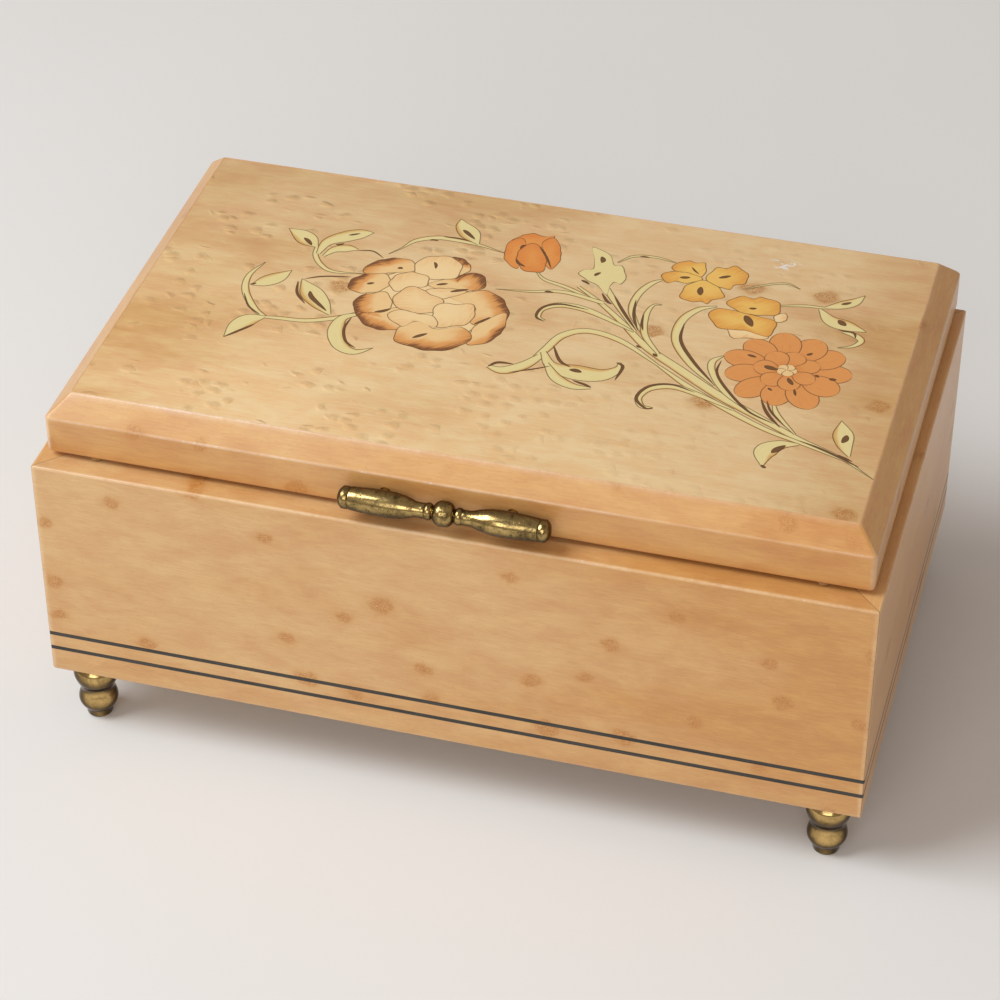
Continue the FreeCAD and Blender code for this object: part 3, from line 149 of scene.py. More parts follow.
def node_group(build, inputs, outputs="Colour Gloss Height"):
    """A shared effect, named after the function that wires its inputs to its outputs. A socket's name says whether it
    is a place, a colour or a value."""
    tree = bpy.data.node_groups.new(build.__name__, "ShaderNodeTree")
    inputs, outputs = inputs.split(), outputs.split()
    for way, labels in (("INPUT", inputs), ("OUTPUT", outputs)):
        for label in labels:
            kind = "Vector" if label == "Place" else "Color" if label in COLOUR_SOCKETS else "Float"
            tree.interface.new_socket(label, in_out=way, socket_type="NodeSocket" + kind)
    source = tree.nodes.new("NodeGroupInput")
    results = build(Wiring(tree), *[source.outputs[label] for label in inputs])
    sink = tree.nodes.new("NodeGroupOutput")
    for label, result in zip(outputs, results):
        tree.links.new(result, sink.inputs[label])
    return tree


def figured_maple(wire, place, ground, warm, eye, drift, eyes, dimples):
    """Maple veneer with its grain along the first axis and its face across the third: warm clouds, fine grain,
    short dark flecks, the brown eyes of the figure, and the dimples where the fibres stand on end."""
    clouds = wire.noise(place, (0.012, 0.03, 0.03), 4.0, 0.6)
    share = wire.calc("ADD", wire.span(clouds, 0.4, 0.7, 0.0, 0.8), drift, clamp=True)
    colour = wire.mix(share, ground, warm)
    patches = wire.noise(place, (0.08, 0.19, 0.19), 4.0, 0.62, 0.4)
    mottle = wire.mix(wire.span(patches, 0.3, 0.7), (0.42, 0.4, 0.37), (0.59, 0.6, 0.61))
    colour = wire.mix(0.5, colour, mottle, "OVERLAY")
    grain = wire.noise(place, (0.2, 2.6, 2.6), 5.0, 0.62)
    lines = wire.mix(wire.span(grain, 0.25, 0.75), (0.34, 0.32, 0.31), (0.63, 0.63, 0.63))
    colour = wire.mix(0.3, colour, lines, "OVERLAY")
    fleck = wire.noise(place, (0.8, 5.2, 5.2), 2.0, 0.5)
    fleck = wire.span(fleck, 0.6, 0.74, 0.0, 0.44)
    fleck = wire.times(fleck, wire.span(dimples, 0.0, 0.35, 1.0, 0.4))
    colour = wire.mix(fleck, colour, eye)
    drawn = wire.noise(place, 0.3, 2.0, 0.5, out=1)
    wander = wire.add("ShaderNodeVectorMath", drawn, (3.4, 3.0, 3.0), place, operation="MULTIPLY_ADD")
    reach, chance = wire.scatter(wire.stretch(wander, (0.052, 0.066, 0.066)))
    shown = wire.span(wire.calc("ADD", chance, eyes), 0.98, 1.02)
    swirl = wire.noise(place, (0.9, 1.5, 1.5), 3.0, 0.62, 2.6)
    ragged = wire.calc("SUBTRACT", reach, wire.span(chance, 0.6, 1.0, 0.085, 0.14))
    ragged = wire.calc("MULTIPLY_ADD", swirl, 0.2, ragged)
    halo = wire.times(wire.span(ragged, 0.27, 0.05), shown)
    core = wire.times(wire.span(ragged, 0.15, 0.09), shown)
    core = wire.times(core, wire.span(swirl, 0.45, 0.56, 0.12, 1.0))
    colour = wire.mix(wire.times(halo, 0.55), colour, warm)
    colour = wire.mix(core, colour, eye)
    gentle = wire.add("ShaderNodeVectorMath", drawn, (2.6, 1.6, 1.6), place, operation="MULTIPLY_ADD")
    dent, dent_chance = wire.scatter(wire.stretch(gentle, (0.21, 0.27, 0.27)))
    rows = wire.noise(place, (0.045, 0.07, 0.07), 2.0)
    dent_chance = wire.calc("ADD", dent_chance, wire.span(rows, 0.36, 0.64, -0.75, 0.4))
    dent = wire.times(wire.span(dent, 0.5, 0.04), wire.span(dent_chance, 0.55, 0.75))
    dent = wire.times(dent, dimples)
    spot = wire.times(dent, wire.span(swirl, 0.36, 0.58, 0.1, 0.6))
    colour = wire.mix(spot, colour, warm)
    height = wire.calc("MULTIPLY_ADD", grain, 0.05, wire.times(fleck, -0.1))
    height = wire.calc("MULTIPLY_ADD", dent, 0.9, height)
    gloss = wire.span(patches, 0.3, 0.7, 0.36, 0.46)
    return colour, gloss, height


def rubbed_edge_and_highlight(wire, place, colour, wear, pale, strength):
    """Pale broken line on an arris, strongest where its share is 1: partly varnish rubbed to pale wood with chips,
    partly a painted highlight along the arris.
    """
    breaks = wire.noise(place, 0.05, 3.0, 0.6)
    nicks = wire.noise(place, 0.9, 3.0, 0.6)
    # The pale line is partly rubbed varnish and partly painted highlight on the arris.
    line = wire.times(wire.span(wear, 0.2, 0.95), wire.span(breaks, 0.3, 0.62, 0.35, 1.0))
    line = wire.times(line, wire.span(nicks, 0.2, 0.62, 0.45, 1.0))
    line = wire.times(line, strength)
    chip = wire.times(wire.span(nicks, 0.68, 0.72), wire.span(wear, 0.4, 0.9))
    chip = wire.times(chip, strength)
    return [wire.mix(chip, wire.mix(line, colour, pale), (0.84, 0.74, 0.6))]


def aged_metal(wire, place, bright, tarnish, amount):
    """Old metal: clouds of tarnish, small dark pits and fine scratches over the bright metal."""
    clouds = wire.noise(place, 0.32, 5.0, 0.62, 0.5)
    speckle = wire.noise(place, 2.3, 4.0, 0.65)
    pits = wire.cells(place, 1.1)
    cover = wire.calc("ADD", wire.span(clouds, 0.3, 0.75), wire.span(speckle, 0.45, 0.75, -0.1, 0.4))
    cover = wire.times(cover, amount, clamp=True)
    pit = wire.times(wire.span(pits, 0.3, 0.16), wire.span(speckle, 0.5, 0.62))
    cover = wire.calc("MAXIMUM", cover, wire.times(pit, amount))
    colour = wire.mix(cover, bright, tarnish)
    gloss = wire.span(cover, 0.0, 1.0, 0.16, 0.36)
    height = wire.calc("MULTIPLY_ADD", speckle, 0.25, wire.times(pit, -0.6))
    return colour, gloss, height


def short_pile(wire, place, ground, light):
    """Velvet: a dense short pile that leans in patches, lighter where it has been brushed."""
    brushed = wire.noise(place, 0.055, 4.0, 0.6, 0.8)
    pile = wire.noise(place, 4.2, 3.0, 0.6)
    colour = wire.mix(wire.span(brushed, 0.36, 0.7, 0.0, 0.36), ground, light)
    colour = wire.mix(wire.span(pile, 0.35, 0.7, 0.0, 0.4), colour, light)
    return colour, wire.calc("ADD", pile, brushed)


def sawn_veneer(wire, place, ground, scorched, rim, scorch):
    """Inlaid piece: grain along it, edges shaded brown in hot sand, and the dark saw line round its outline."""
    grain = wire.noise(place, (0.22, 2.4, 1.0), 4.0, 0.6)
    lines = wire.mix(wire.span(grain, 0.25, 0.75), (0.36, 0.35, 0.34), (0.61, 0.61, 0.61))
    colour = wire.mix(0.45, ground, lines, "OVERLAY")
    burnt = wire.calc("ADD", scorch, wire.span(grain, 0.3, 0.7, -0.16, 0.16))
    colour = wire.mix(wire.span(burnt, 0.0, 0.6, 0.0, 0.9), colour, (0.84, 0.52, 0.27), "MULTIPLY")
    colour = wire.mix(wire.span(burnt, 0.6, 1.0, 0.0, 0.95), colour, scorched)
    colour = wire.mix(wire.span(rim, 0.36, 0.14, 0.0, 0.85), colour, (0.13, 0.055, 0.016))
    return colour, wire.span(grain, 0.3, 0.7, 0.36, 0.46), grain


GROUPS = {tree.name: tree for tree in (
    node_group(figured_maple, "Place Ground Warm Eye Drift Eyes Dimples"),
    node_group(rubbed_edge_and_highlight, "Place Colour Wear Pale Strength", "Colour"),
    node_group(aged_metal, "Place Bright Tarnish Amount"),
    node_group(short_pile, "Place Ground Light", "Colour Height"),
    node_group(sawn_veneer, "Place Ground Scorched Rim Scorch"),
)}


class Finish(Wiring):
    """One material with a Principled shader. Its places are the piece's own coordinates in millimetres, with the
    axes in the order asked: along the grain, across it, and out of the face."""

    def __init__(self, name, order=(0, 1, 2), shift=(0, 0, 0)):
        self.material = bpy.data.materials.new(name)
        self.material.use_nodes = True
        super().__init__(self.material.node_tree)
        self.tree.nodes.clear()
        self.shader = self.tree.nodes.new("ShaderNodeBsdfPrincipled")
        sink = self.tree.nodes.new("ShaderNodeOutputMaterial")
        self.tree.links.new(self.shader.outputs[0], sink.inputs[0])
        own = self.add("ShaderNodeSeparateXYZ", self.add("ShaderNodeTexCoord", out=3)).node
        self.axes = [self.times(own.outputs[axis], 1000.0) for axis in range(3)]
        swapped = self.add("ShaderNodeCombineXYZ", *[self.axes[axis] for axis in order])
        self.place = self.add("ShaderNodeVectorMath", swapped, shift, operation="ADD")

    def use(self, group, *inputs):
        """Places a shared effect and returns its outputs."""
        node = self.tree.nodes.new("ShaderNodeGroup")
        node.node_tree = GROUPS[group]
        for socket, value in zip(node.inputs, inputs):
            self.feed(socket, value)
        return node.outputs

    def set(self, **values):
        """Feeds inputs of the shader by their names, with spaces written as underscores."""
        for name, value in values.items():
            self.feed(self.shader.inputs[name.replace("_", " ")], value)
        return self

    def bump(self, height, strength, distance):
        """Small relief in the surface, the distance in metres."""
        self.set(Normal=self.add("ShaderNodeBump", strength, distance, None, height))
        return self

    def ramp(self, amount):
        """A plain amount, one that goes from start to end between two places along an axis, or several added."""
        if isinstance(amount, list):
            return functools.reduce(lambda one, two: self.calc("ADD", one, two), map(self.ramp, amount))
        if isinstance(amount, tuple):
            axis, low, high, start, end = amount
            return self.span(self.axes[axis], low, high, start, end)
        return amount


def maple_finish(name, order, shift, ground, warm, eyes=0.36, dimples=0.0, drift=0.0, pale=(0.84, 0.6, 0.36),
                 rub=0.35, relief=0.00025, mitre=None, scuff=None):
    """Varnished maple whose arrises carry a pale line, partly rubbed varnish and partly painted highlight. A mitre,
    given by the frame's half sizes and its middle across, shows as a dark line where the insets from two
    neighbouring sides are equal. A scuff is a rubbed spot at a place."""
    finish = Finish(name, order, shift)
    wood = finish.use("figured_maple", finish.place, ground, warm, (0.5, 0.2, 0.042), finish.ramp(drift), eyes,
                      finish.ramp(dimples))
    # Pale arris line: partly rubbed varnish, partly painted highlight.
    wear = finish.attribute("wear")
    colour = finish.use("rubbed_edge_and_highlight", finish.place, wood["Colour"], wear, pale, finish.ramp(rub))["Colour"]
    if mitre:
        beside = finish.calc("SUBTRACT", mitre[0], finish.calc("ABSOLUTE", finish.axes[0]))
        offset = finish.calc("ABSOLUTE", finish.calc("SUBTRACT", finish.axes[1], mitre[2]))
        within = finish.calc("SUBTRACT", beside, finish.calc("SUBTRACT", mitre[1], offset))
        line = finish.span(finish.calc("ABSOLUTE", within), 0.2, 0.08, 0.0, 0.6)
        colour = finish.mix(line, colour, (0.13, 0.06, 0.025))
    if scuff:
        across = [finish.calc("SUBTRACT", finish.axes[axis], scuff[axis]) for axis in range(2)]
        square = finish.times(across[1], across[1])
        square = finish.calc("MULTIPLY_ADD", across[0], finish.times(across[0], 0.35), square)
        specks = finish.noise(finish.place, (0.5, 0.9, 0.9), 3.0, 0.6, 0.8)
        spot = finish.times(finish.span(square, 9.0, 1.0), finish.span(specks, 0.55, 0.6))
        colour = finish.mix(spot, colour, (0.9, 0.87, 0.82))
    finish.set(Base_Color=colour, Roughness=wood["Gloss"], Coat_Weight=0.3, Coat_Roughness=0.24)
    return finish.bump(wood["Height"], 0.55, relief).material


def metal_finish(name, bright, tarnish, amount, relief=0.00004, edge=0.0):
    """Solid metal with its age on it. The edge share darkens it towards the tarnish colour where it turns away from
    the
    eye: painted shade standing in for dark reflections at grazing angles."""
    finish = Finish(name)
    metal = finish.use("aged_metal", finish.place, bright, tarnish, amount)
    colour = metal["Colour"]
    if edge:
        # Painted shade: darker towards the tarnish colour where the surface turns from the eye, in place of dark
        # reflections
        away = finish.add("ShaderNodeLayerWeight", 0.5, out=1)
        colour = finish.mix(finish.span(away, 0.12, 0.62, 0.0, edge), colour, tarnish)
    finish.set(Base_Color=colour, Roughness=metal["Gloss"], Metallic=1.0)
    return finish.bump(metal["Height"], 0.4, relief).material


def line_finish():
    """Dyed dark veneer line with a little grain and paler rubbed spots."""
    finish = Finish("dark_line")
    streaks = finish.noise(finish.place, (0.12, 0.12, 2.0), 4.0, 0.6)
    rubbed = finish.noise(finish.place, 0.16, 4.0, 0.65)
    colour = finish.mix(finish.span(streaks, 0.3, 0.7), (0.018, 0.016, 0.013), (0.052, 0.046, 0.036))
    colour = finish.mix(finish.span(rubbed, 0.66, 0.8, 0.0, 0.5), colour, (0.2, 0.17, 0.12))
    return finish.set(Base_Color=colour, Roughness=finish.span(streaks, 0.3, 0.7, 0.35, 0.5)).material


def board_finish():
    """Plain sanded plywood."""
    finish = Finish("plain_board")
    wood = finish.use("figured_maple", finish.place, (0.56, 0.4, 0.25), (0.47, 0.31, 0.18),
                      (0.3, 0.18, 0.1), 0.0, 0.1, 0.0)
    finish.set(Base_Color=wood["Colour"], Roughness=0.62)
    return finish.bump(wood["Height"], 0.5, 0.0003).material


def velvet_finish(name, ground, light, tint):
    """Short pile cloth."""
    finish = Finish(name)
    cloth = finish.use("short_pile", finish.place, ground, light)
    finish.set(Base_Color=cloth["Colour"], Roughness=0.92, Sheen_Weight=0.6, Sheen_Roughness=0.35, Sheen_Tint=tint,
               Specular_IOR_Level=0.15)
    return finish.bump(cloth["Height"], 0.5, 0.0002).material


def glass_finish():
    """Clear pane with a faint green body and a trace of dust."""
    finish = Finish("clear_glass")
    dust = finish.noise(finish.place, 0.2, 5.0, 0.7)
    finish.set(Base_Color=(0.93, 0.97, 0.95), Roughness=finish.span(dust, 0.4, 0.8, 0.02, 0.12), IOR=1.5,
               Transmission_Weight=1.0)
    return finish.material


def inlay_finish(name, ground, scorched):
    """Inlaid veneer whose grain follows each piece, by the places along and beside its middle line."""
    finish = Finish(name)
    place = finish.add("ShaderNodeCombineXYZ", finish.attribute("along"), finish.attribute("beside"))
    veneer = finish.use("sawn_veneer", place, ground, scorched, finish.attribute("rim"), finish.attribute("scorch"))
    finish.set(Base_Color=veneer["Colour"], Roughness=veneer["Gloss"], Coat_Weight=0.3, Coat_Roughness=0.24)
    return finish.bump(veneer["Height"], 0.3, 0.00006).material


RED = (0.9, 0.25, 0.25)
CASE_MITRE = (*CASE_HALF, CASE_MIDDLE[1])
# Each maple's rub sets the strength of its pale arris line, partly rubbed varnish and partly painted highlight.
MAPLES = {
    "maple_front": dict(order=(0, 2, 1), shift=(31, 7, 3), ground=(0.685, 0.41, 0.18), warm=(0.605, 0.3, 0.092),
                        eyes=0.6, drift=(0, -20.0, 105.0, 0.0, 0.75), rub=0.5, mitre=CASE_MITRE),
    "maple_side": dict(order=(1, 2, 0), shift=(57, 11, 29), ground=(0.72, 0.4, 0.152), warm=(0.63, 0.32, 0.105),
                       eyes=0.45, rub=0.3, mitre=CASE_MITRE),
    "maple_edge_long": dict(order=(0, 2, 1), shift=(12, 41, 17), ground=(0.66, 0.365, 0.138),
                            warm=(0.615, 0.29, 0.082), eyes=0.5, drift=(0, -60.0, 100.0, 0.0, 0.6),
                            pale=(0.87, 0.66, 0.48), rub=(0, -60.0, 70.0, 0.85, 0.35)),
    "maple_edge_short": dict(order=(1, 2, 0), shift=(83, 5, 61), ground=(0.7, 0.385, 0.145), warm=(0.61, 0.31, 0.1),
                             eyes=0.4, pale=(0.8, 0.58, 0.38), rub=0.4),
    "maple_top": dict(order=(0, 1, 2), shift=(5, 3, 2), ground=(0.84, 0.585, 0.305), warm=(0.655, 0.375, 0.145),
                      eyes=0.1, dimples=(0, -50.0, 50.0, 1.0, 0.3),
                      drift=[(0, -95.0, -40.0, 0.4, 0.0), (0, -10.0, 40.0, 0.0, -0.4), (0, 55.0, 92.0, 0.0, 1.0)],
                      rub=0.2, relief=0.0006, scuff=(56.4, 43.9)),
}
# Metals: bright colour, tarnish colour, amount of tarnish, relief and, for the brass of pull and feet, the share of
# painted edge shade standing in for dark reflections at grazing angles
METALS = {
    "antique_brass": ((0.6, 0.42, 0.16), (0.05, 0.031, 0.013), 0.92, 0.00007, 0.95),
    "foot_brass": ((0.66, 0.45, 0.175), (0.065, 0.038, 0.015), 0.6, 0.00002, 0.95),
    "hinge_brass": ((0.7, 0.53, 0.24), (0.25, 0.17, 0.07), 0.5),
    "movement_brass": ((0.78, 0.6, 0.28), (0.42, 0.3, 0.13), 0.35),
    "bed_metal": ((0.6, 0.47, 0.22), (0.33, 0.25, 0.12), 0.4),
    "steel": ((0.62, 0.62, 0.63), (0.25, 0.23, 0.21), 0.35),
    "fan_metal": ((0.8, 0.8, 0.81), (0.5, 0.5, 0.5), 0.3),
}
CLOTHS = {
    "velvet": ((0.17, 0.008, 0.016), (0.33, 0.03, 0.045), RED),
    "covered_board": ((0.15, 0.007, 0.014), (0.3, 0.028, 0.04), RED),
    "felt": ((0.36, 0.19, 0.07), (0.46, 0.27, 0.12), (0.5, 0.4, 0.3)),
}
VENEERS = {
    "cream": ((0.9, 0.65, 0.33), (0.4, 0.15, 0.036)),
    "tan": ((0.86, 0.575, 0.26), (0.18, 0.055, 0.012)),
    "orange": ((0.745, 0.305, 0.08), (0.4, 0.12, 0.03)),
    "rust": ((0.79, 0.31, 0.066), (0.28, 0.075, 0.018)),
    "yellow": ((0.85, 0.52, 0.12), (0.5, 0.25, 0.05)),
    "green": ((0.79, 0.655, 0.3), (0.3, 0.19, 0.065)),
    "ink": ((0.17, 0.072, 0.018), (0.09, 0.035, 0.01)),
}
FINISHES = {"dark_line": line_finish(), "plain_board": board_finish(), "clear_glass": glass_finish()}
FINISHES.update((name, maple_finish(name, **look)) for name, look in MAPLES.items())
FINISHES.update((name, metal_finish(name, *look)) for name, look in METALS.items())
FINISHES.update((name, velvet_finish(name, *look)) for name, look in CLOTHS.items())
FINISHES.update(("inlay_" + name, inlay_finish("inlay_" + name, *look)) for name, look in VENEERS.items())


# Surfaces

def tube_faces(rows, columns, first=False, last=False):
    """Corner numbers of the faces of a tube: a ring of points in each row, joined to the next row by quads, with the
    first and the last ring closed by one face each if asked."""
    row, column = (part.ravel() for part in np.meshgrid(np.arange(rows - 1), np.arange(columns), indexing="ij"))
    start, beside = row * columns + column, row * columns + (column + 1) % columns
    faces = np.stack([start, beside, beside + columns, start + columns], 1).tolist()
    faces += [list(range(columns))] if first else []
    return faces + ([list(range((rows - 1) * columns, rows * columns))] if last else [])


def arc(centre, radius, start, end, count):
    """Points of a circular arc between two angles in degrees: the centre plus the radius times cosine and sine."""
    angle = np.radians(np.linspace(start, end, count))
    return np.stack([centre[0] + radius * np.cos(angle), centre[1] + radius * np.sin(angle)], 1)


def bowed(start, end, bulge, count):
    """Arc from start to end whose middle stands off the chord by the bulge, to the left of its way: the chord's
    half length h gives the radius (h squared + bulge squared) / (2 bulge)."""
    start, end = np.asarray(start, float), np.asarray(end, float)
    chord = end - start
    half = np.hypot(*chord) / 2
    left = np.array([-chord[1], chord[0]]) / (2 * half)
    radius = (half ** 2 + bulge ** 2) / (2 * bulge)
    centre = (start + end) / 2 + left * (bulge - radius)
    first = math.degrees(math.atan2(*(start - centre)[::-1]))
    sweep = math.degrees(2 * math.atan2(half, abs(radius) - abs(bulge)))
    return arc(centre, abs(radius), first, first - math.copysign(sweep, bulge), count)


def smooth_path(points, count):
    """Curve through the points: in each span the cubic whose slope at a point is half the step between its
    neighbours."""
    points = np.asarray(points, float)
    padded = np.concatenate([[2 * points[0] - points[1]], points, [2 * points[-1] - points[-2]]])
    place = np.linspace(0, len(points) - 1, count)
    span = np.minimum(place.astype(int), len(points) - 2)
    part = (place - span)[:, None]
    before, start, end, after = (padded[span + step] for step in range(4))
    return 0.5 * (2 * start + (end - before) * part + (2 * before - 5 * start + 4 * end - after) * part ** 2
                  + (3 * start - before - 3 * end + after) * part ** 3)


def put(name, data, place=(0, 0, 0), aim=None):
    """An object of the scene from its data, at a place in metres and, if asked, looking at a point."""
    item = bpy.data.objects.new(name, data)
    item.location = place
    if aim is not None:
        item.rotation_euler = (Vector(aim) - Vector(place)).to_track_quat("-Z", "Y").to_euler()
    bpy.context.scene.collection.objects.link(item)
    return item


def make_piece(name, body, slot, finish, points, faces, values=None, replaced=(), sharp=38.0):
    """A mesh at the origin from points in millimetres and lists of corner numbers, with its values at the points,
    its finish, the body that it rides on and the nodes that it stands for."""
    mesh = bpy.data.meshes.new(name)
    mesh.from_pydata((np.asarray(points) * MM).tolist(), [], faces)
    for label, amounts in (values or {}).items():
        layer = mesh.attributes.new(label, "FLOAT", "POINT")
        layer.data.foreach_set("value", np.asarray(amounts, np.float32).ravel())
    shell = bmesh.new()
    shell.from_mesh(mesh)
    bmesh.ops.remove_doubles(shell, verts=shell.verts, dist=1e-7)
    bmesh.ops.dissolve_degenerate(shell, edges=shell.edges, dist=1e-8)
    bmesh.ops.recalc_face_normals(shell, faces=shell.faces)
    shell.to_mesh(mesh)
    shell.free()
    mesh.polygons.foreach_set("use_smooth", np.ones(len(mesh.polygons), bool))
    mesh.set_sharp_from_angle(angle=math.radians(sharp))
    mesh.materials.append(FINISHES[finish])
    item = put(name, mesh)
    if replaced:
        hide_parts(*replaced)
    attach(item, body)
    return item


class Bundle:
    """Several surfaces gathered into one mesh."""

    def __init__(self):
        self.points = []
        self.faces = []
        self.values = {}
        self.count = 0

    def add(self, points, faces, **values):
        """Takes in one surface: its points in a list, its faces and one value of each kind for every point."""
        points = np.asarray(points, float).reshape(-1, 3)
        self.points.append(points)
        self.faces += [[int(corner) + self.count for corner in face] for face in faces]
        for label, amounts in values.items():
            spread = np.broadcast_to(np.asarray(amounts, float).ravel(), len(points))
            self.values.setdefault(label, []).append(spread)
        self.count += len(points)

    def make(self, name, body, slot, finish, replaced=(), **options):
        """Turns what was gathered into a piece."""
        values = {label: np.concatenate(parts) for label, parts in self.values.items()}
        points = np.concatenate(self.points)
        return make_piece(name, body, slot, finish, points, self.faces, values, replaced, **options)


CORNER_STEPS = 5


def frame_side(bundle, half, middle, base, quarter, profile, notch=None):
    """One mitred side of a rectangular frame. The profile lists inset, height, corner radius and the share of the
    pale arris line, partly rubbed varnish and partly painted highlight, round the section. At a corner each point
    follows an arc of its radius from the mitre, at 45 degrees, to the side's direction; between the corners it runs
    straight. A notch gives other heights between pairs of places along the side. The side is then turned by
    quarters of a circle."""
    half_along, half_across = half if quarter % 2 == 0 else half[::-1]
    inset, height, radius, wear = np.asarray(profile, float).T
    reach = half_along - inset - radius
    sweep = np.radians(np.linspace(45, 90, CORNER_STEPS))[:, None]
    corner_x = -reach - radius * np.cos(sweep)
    corner_y = -(half_across - inset - radius) - radius * np.sin(sweep)
    bands = np.array([1.2, 2.4, 10.0, half_along * 0.5, half_along])
    stations = [(place, False) for place in np.concatenate([bands - half_along, half_along - bands[-2::-1]])]
    if notch is not None:
        for low, high in notch["spans"]:
            stations += [(low, False), (low, True), (high, True), (high, False)]
        order = sorted(range(len(stations)), key=lambda index: (stations[index][0], index))
        stations = [stations[index] for index in order]
    place = np.array([station[0] for station in stations])[:, None]
    straight_x = np.clip(place, -reach, reach)
    straight_y = np.broadcast_to(-(half_across - inset), straight_x.shape)
    x = np.concatenate([corner_x, straight_x, -corner_x[::-1]])
    y = np.concatenate([corner_y, straight_y, corner_y[::-1]])
    z = np.tile(height, (len(x), 1))
    if notch is not None:
        rows = CORNER_STEPS + np.flatnonzero([station[1] for station in stations])
        z[rows] = notch["heights"]
    # Pale line also on the upright arrises near the corners: partly rubbed varnish, partly painted highlight.
    near = np.clip(1.6 - (half_along - np.abs(x)), 0, 1) * (inset < 1.0)
    rubbing_and_highlight = np.maximum(np.tile(wear, (len(x), 1)), near)
    turn = math.radians(90 * quarter)
    across = x * math.cos(turn) - y * math.sin(turn) + middle[0]
    along = x * math.sin(turn) + y * math.cos(turn) + middle[1]
    bundle.add(np.stack([across, along, z + base], 2), tube_faces(len(x), len(inset), True, True), wear=rubbing_and_highlight)


def listed(points, radius, wear):
    """Profile rows of inset, height, corner radius and share of the pale arris line from points."""
    points = np.atleast_2d(points)
    return [(inset, height, radius, wear) for inset, height in points]


def wall_profile():
    """Section of a case wall: eased arrises outside, two grooves for the dark lines and a square inside."""
    ease = 0.5
    top = CASE_HEIGHT
    # The last number of each row is the share of the pale arris line: partly rubbed varnish, partly painted
    # highlight.
    rows = listed(arc((ease, ease), ease, 270, 180, 4), ease, 0.5)
    rows += listed([(0, 2.0)], ease, 0)
    for low in (LINE_LOW, LINE_LOW + LINE_PITCH):
        high = low + LINE_WIDTH
        rows += listed([(0, low), (LINE_DEPTH, low), (LINE_DEPTH, high), (0, high)], ease, 0)
    rows += listed([(0, top - 0.8)], ease, 0)
    rows += listed(arc((ease, top - ease), ease, 180, 90, 5), ease, 1)
    rows += listed([(0.8, top), (LEAF_WIDTH, top), (LEAF_WIDTH + 0.01, top), (WALL - 1, top)], 0.1, 0)
    rows += listed(arc((WALL - ease, top - ease), ease, 90, 0, 4), 0.05, 0.3)
    rows += listed([(WALL, 0)], 0.05, 0)
    return rows


def lid_profile():
    """Section of a lid edge: eased lower arris, upright edge, bevel at 45 degrees with a soft upper arris, and the
    rebates for the veneer above and the lining below."""
    low, middle, high = 0.8, 0.5, 1.3
    rise = LID_EDGE + BEVEL
    # The last number of each row is the share of the pale arris line: partly rubbed varnish, partly painted
    # highlight.
    rows = listed(arc((low, low), low, 270, 180, 5), 1.2, 0.3)
    rows += listed([(0, 2.4), (0, LID_EDGE - 0.7)], 1.2, 0)
    rows += listed(arc((middle, LID_EDGE - middle * math.tan(math.pi / 8)), middle, 180, 135, 4), 1.2, 0.7)
    rows += listed([(0.5, LID_EDGE + 0.5), (BEVEL - 1.9, LID_EDGE + BEVEL - 1.9)], 0.8, 0)
    soft = arc((BEVEL + high * math.tan(math.pi / 8), rise - high), high, 135, 90, 7)
    rows += listed(soft[:2], 0.8, 0.55) + listed(soft[2:5], 0.8, 1.0)
    join = soft[4, 0]
    rows += listed([(join, rise - VENEER), (LID_MARGIN, rise - VENEER), (LID_MARGIN, 0.3)], 0.02, 0)
    rows += listed([(LID_MARGIN - 0.3, 0), (LEAF_WIDTH + 0.01, 0), (LEAF_WIDTH, 0), (1.6, 0)], 0.02, 0)
    return rows, join


def notched(profile, limit, level, below):
    """Heights of a profile inside a hinge's bed: nearer the outside than the limit, none passes the level."""
    inset, height = np.asarray(profile, float).T[:2]
    held = np.minimum(height, level) if below else np.maximum(height, level)
    near = height > level - LEAF * 1.5 if below else height < level + LEAF
    return np.where((inset <= limit) & near, held, height)


HINGE_SPANS = [(-HINGE_X - HINGE_HALF, -HINGE_X + HINGE_HALF), (HINGE_X - HINGE_HALF, HINGE_X + HINGE_HALF)]
SIDES = ("front", "right", "back", "left")


def dress_case():
    """Four walls and the two dark lines round them."""
    profile = wall_profile()
    bed = {"spans": HINGE_SPANS, "heights": notched(profile, LEAF_WIDTH, CASE_HEIGHT - LEAF, True)}
    for quarter, side in enumerate(SIDES):
        wall = Bundle()
        frame_side(wall, CASE_HALF, CASE_MIDDLE, CASE_Z, quarter, profile, bed if side == "back" else None)
        finish = "maple_front" if quarter % 2 == 0 else "maple_side"
        wall.make("case_" + side, "case", "maple", finish, [side + "_wall"])
    for label, low in (("lower", LINE_LOW), ("upper", LINE_LOW + LINE_PITCH)):
        line = Bundle()
        high = low + LINE_WIDTH
        section = listed([(0, low), (0, high), (LINE_DEPTH, high), (LINE_DEPTH, low)], 0.5, 0)
        for quarter in range(len(SIDES)):
            frame_side(line, CASE_HALF, CASE_MIDDLE, CASE_Z, quarter, section)
        line.make(label + "_line", "case", "dark_line", "dark_line", [label + "_stringing"])


def layered(bundle, half, middle, section, corner):
    """Board or pad: rectangles with rounded corners, one for each inset and height of the section, from the first
    face to the last, both closed."""
    sweep = np.radians(np.linspace(0, 90, 6))
    turns = np.arange(4)[:, None] * math.pi / 2
    round_x, round_y = np.cos(sweep + turns) * corner, np.sin(sweep + turns) * corner
    sign_x, sign_y = np.sign(np.cos(turns + math.pi / 4)), np.sign(np.sin(turns + math.pi / 4))
    inset, height = np.asarray(section, float).T[:, :, None, None]
    x = round_x + sign_x * (half[0] - inset - corner) + middle[0]
    y = round_y + sign_y * (half[1] - inset - corner) + middle[1]
    points = np.stack([x, y, np.broadcast_to(height, x.shape)], 3)
    bundle.add(points, tube_faces(len(section), points.shape[1] * points.shape[2], True, True), wear=0)


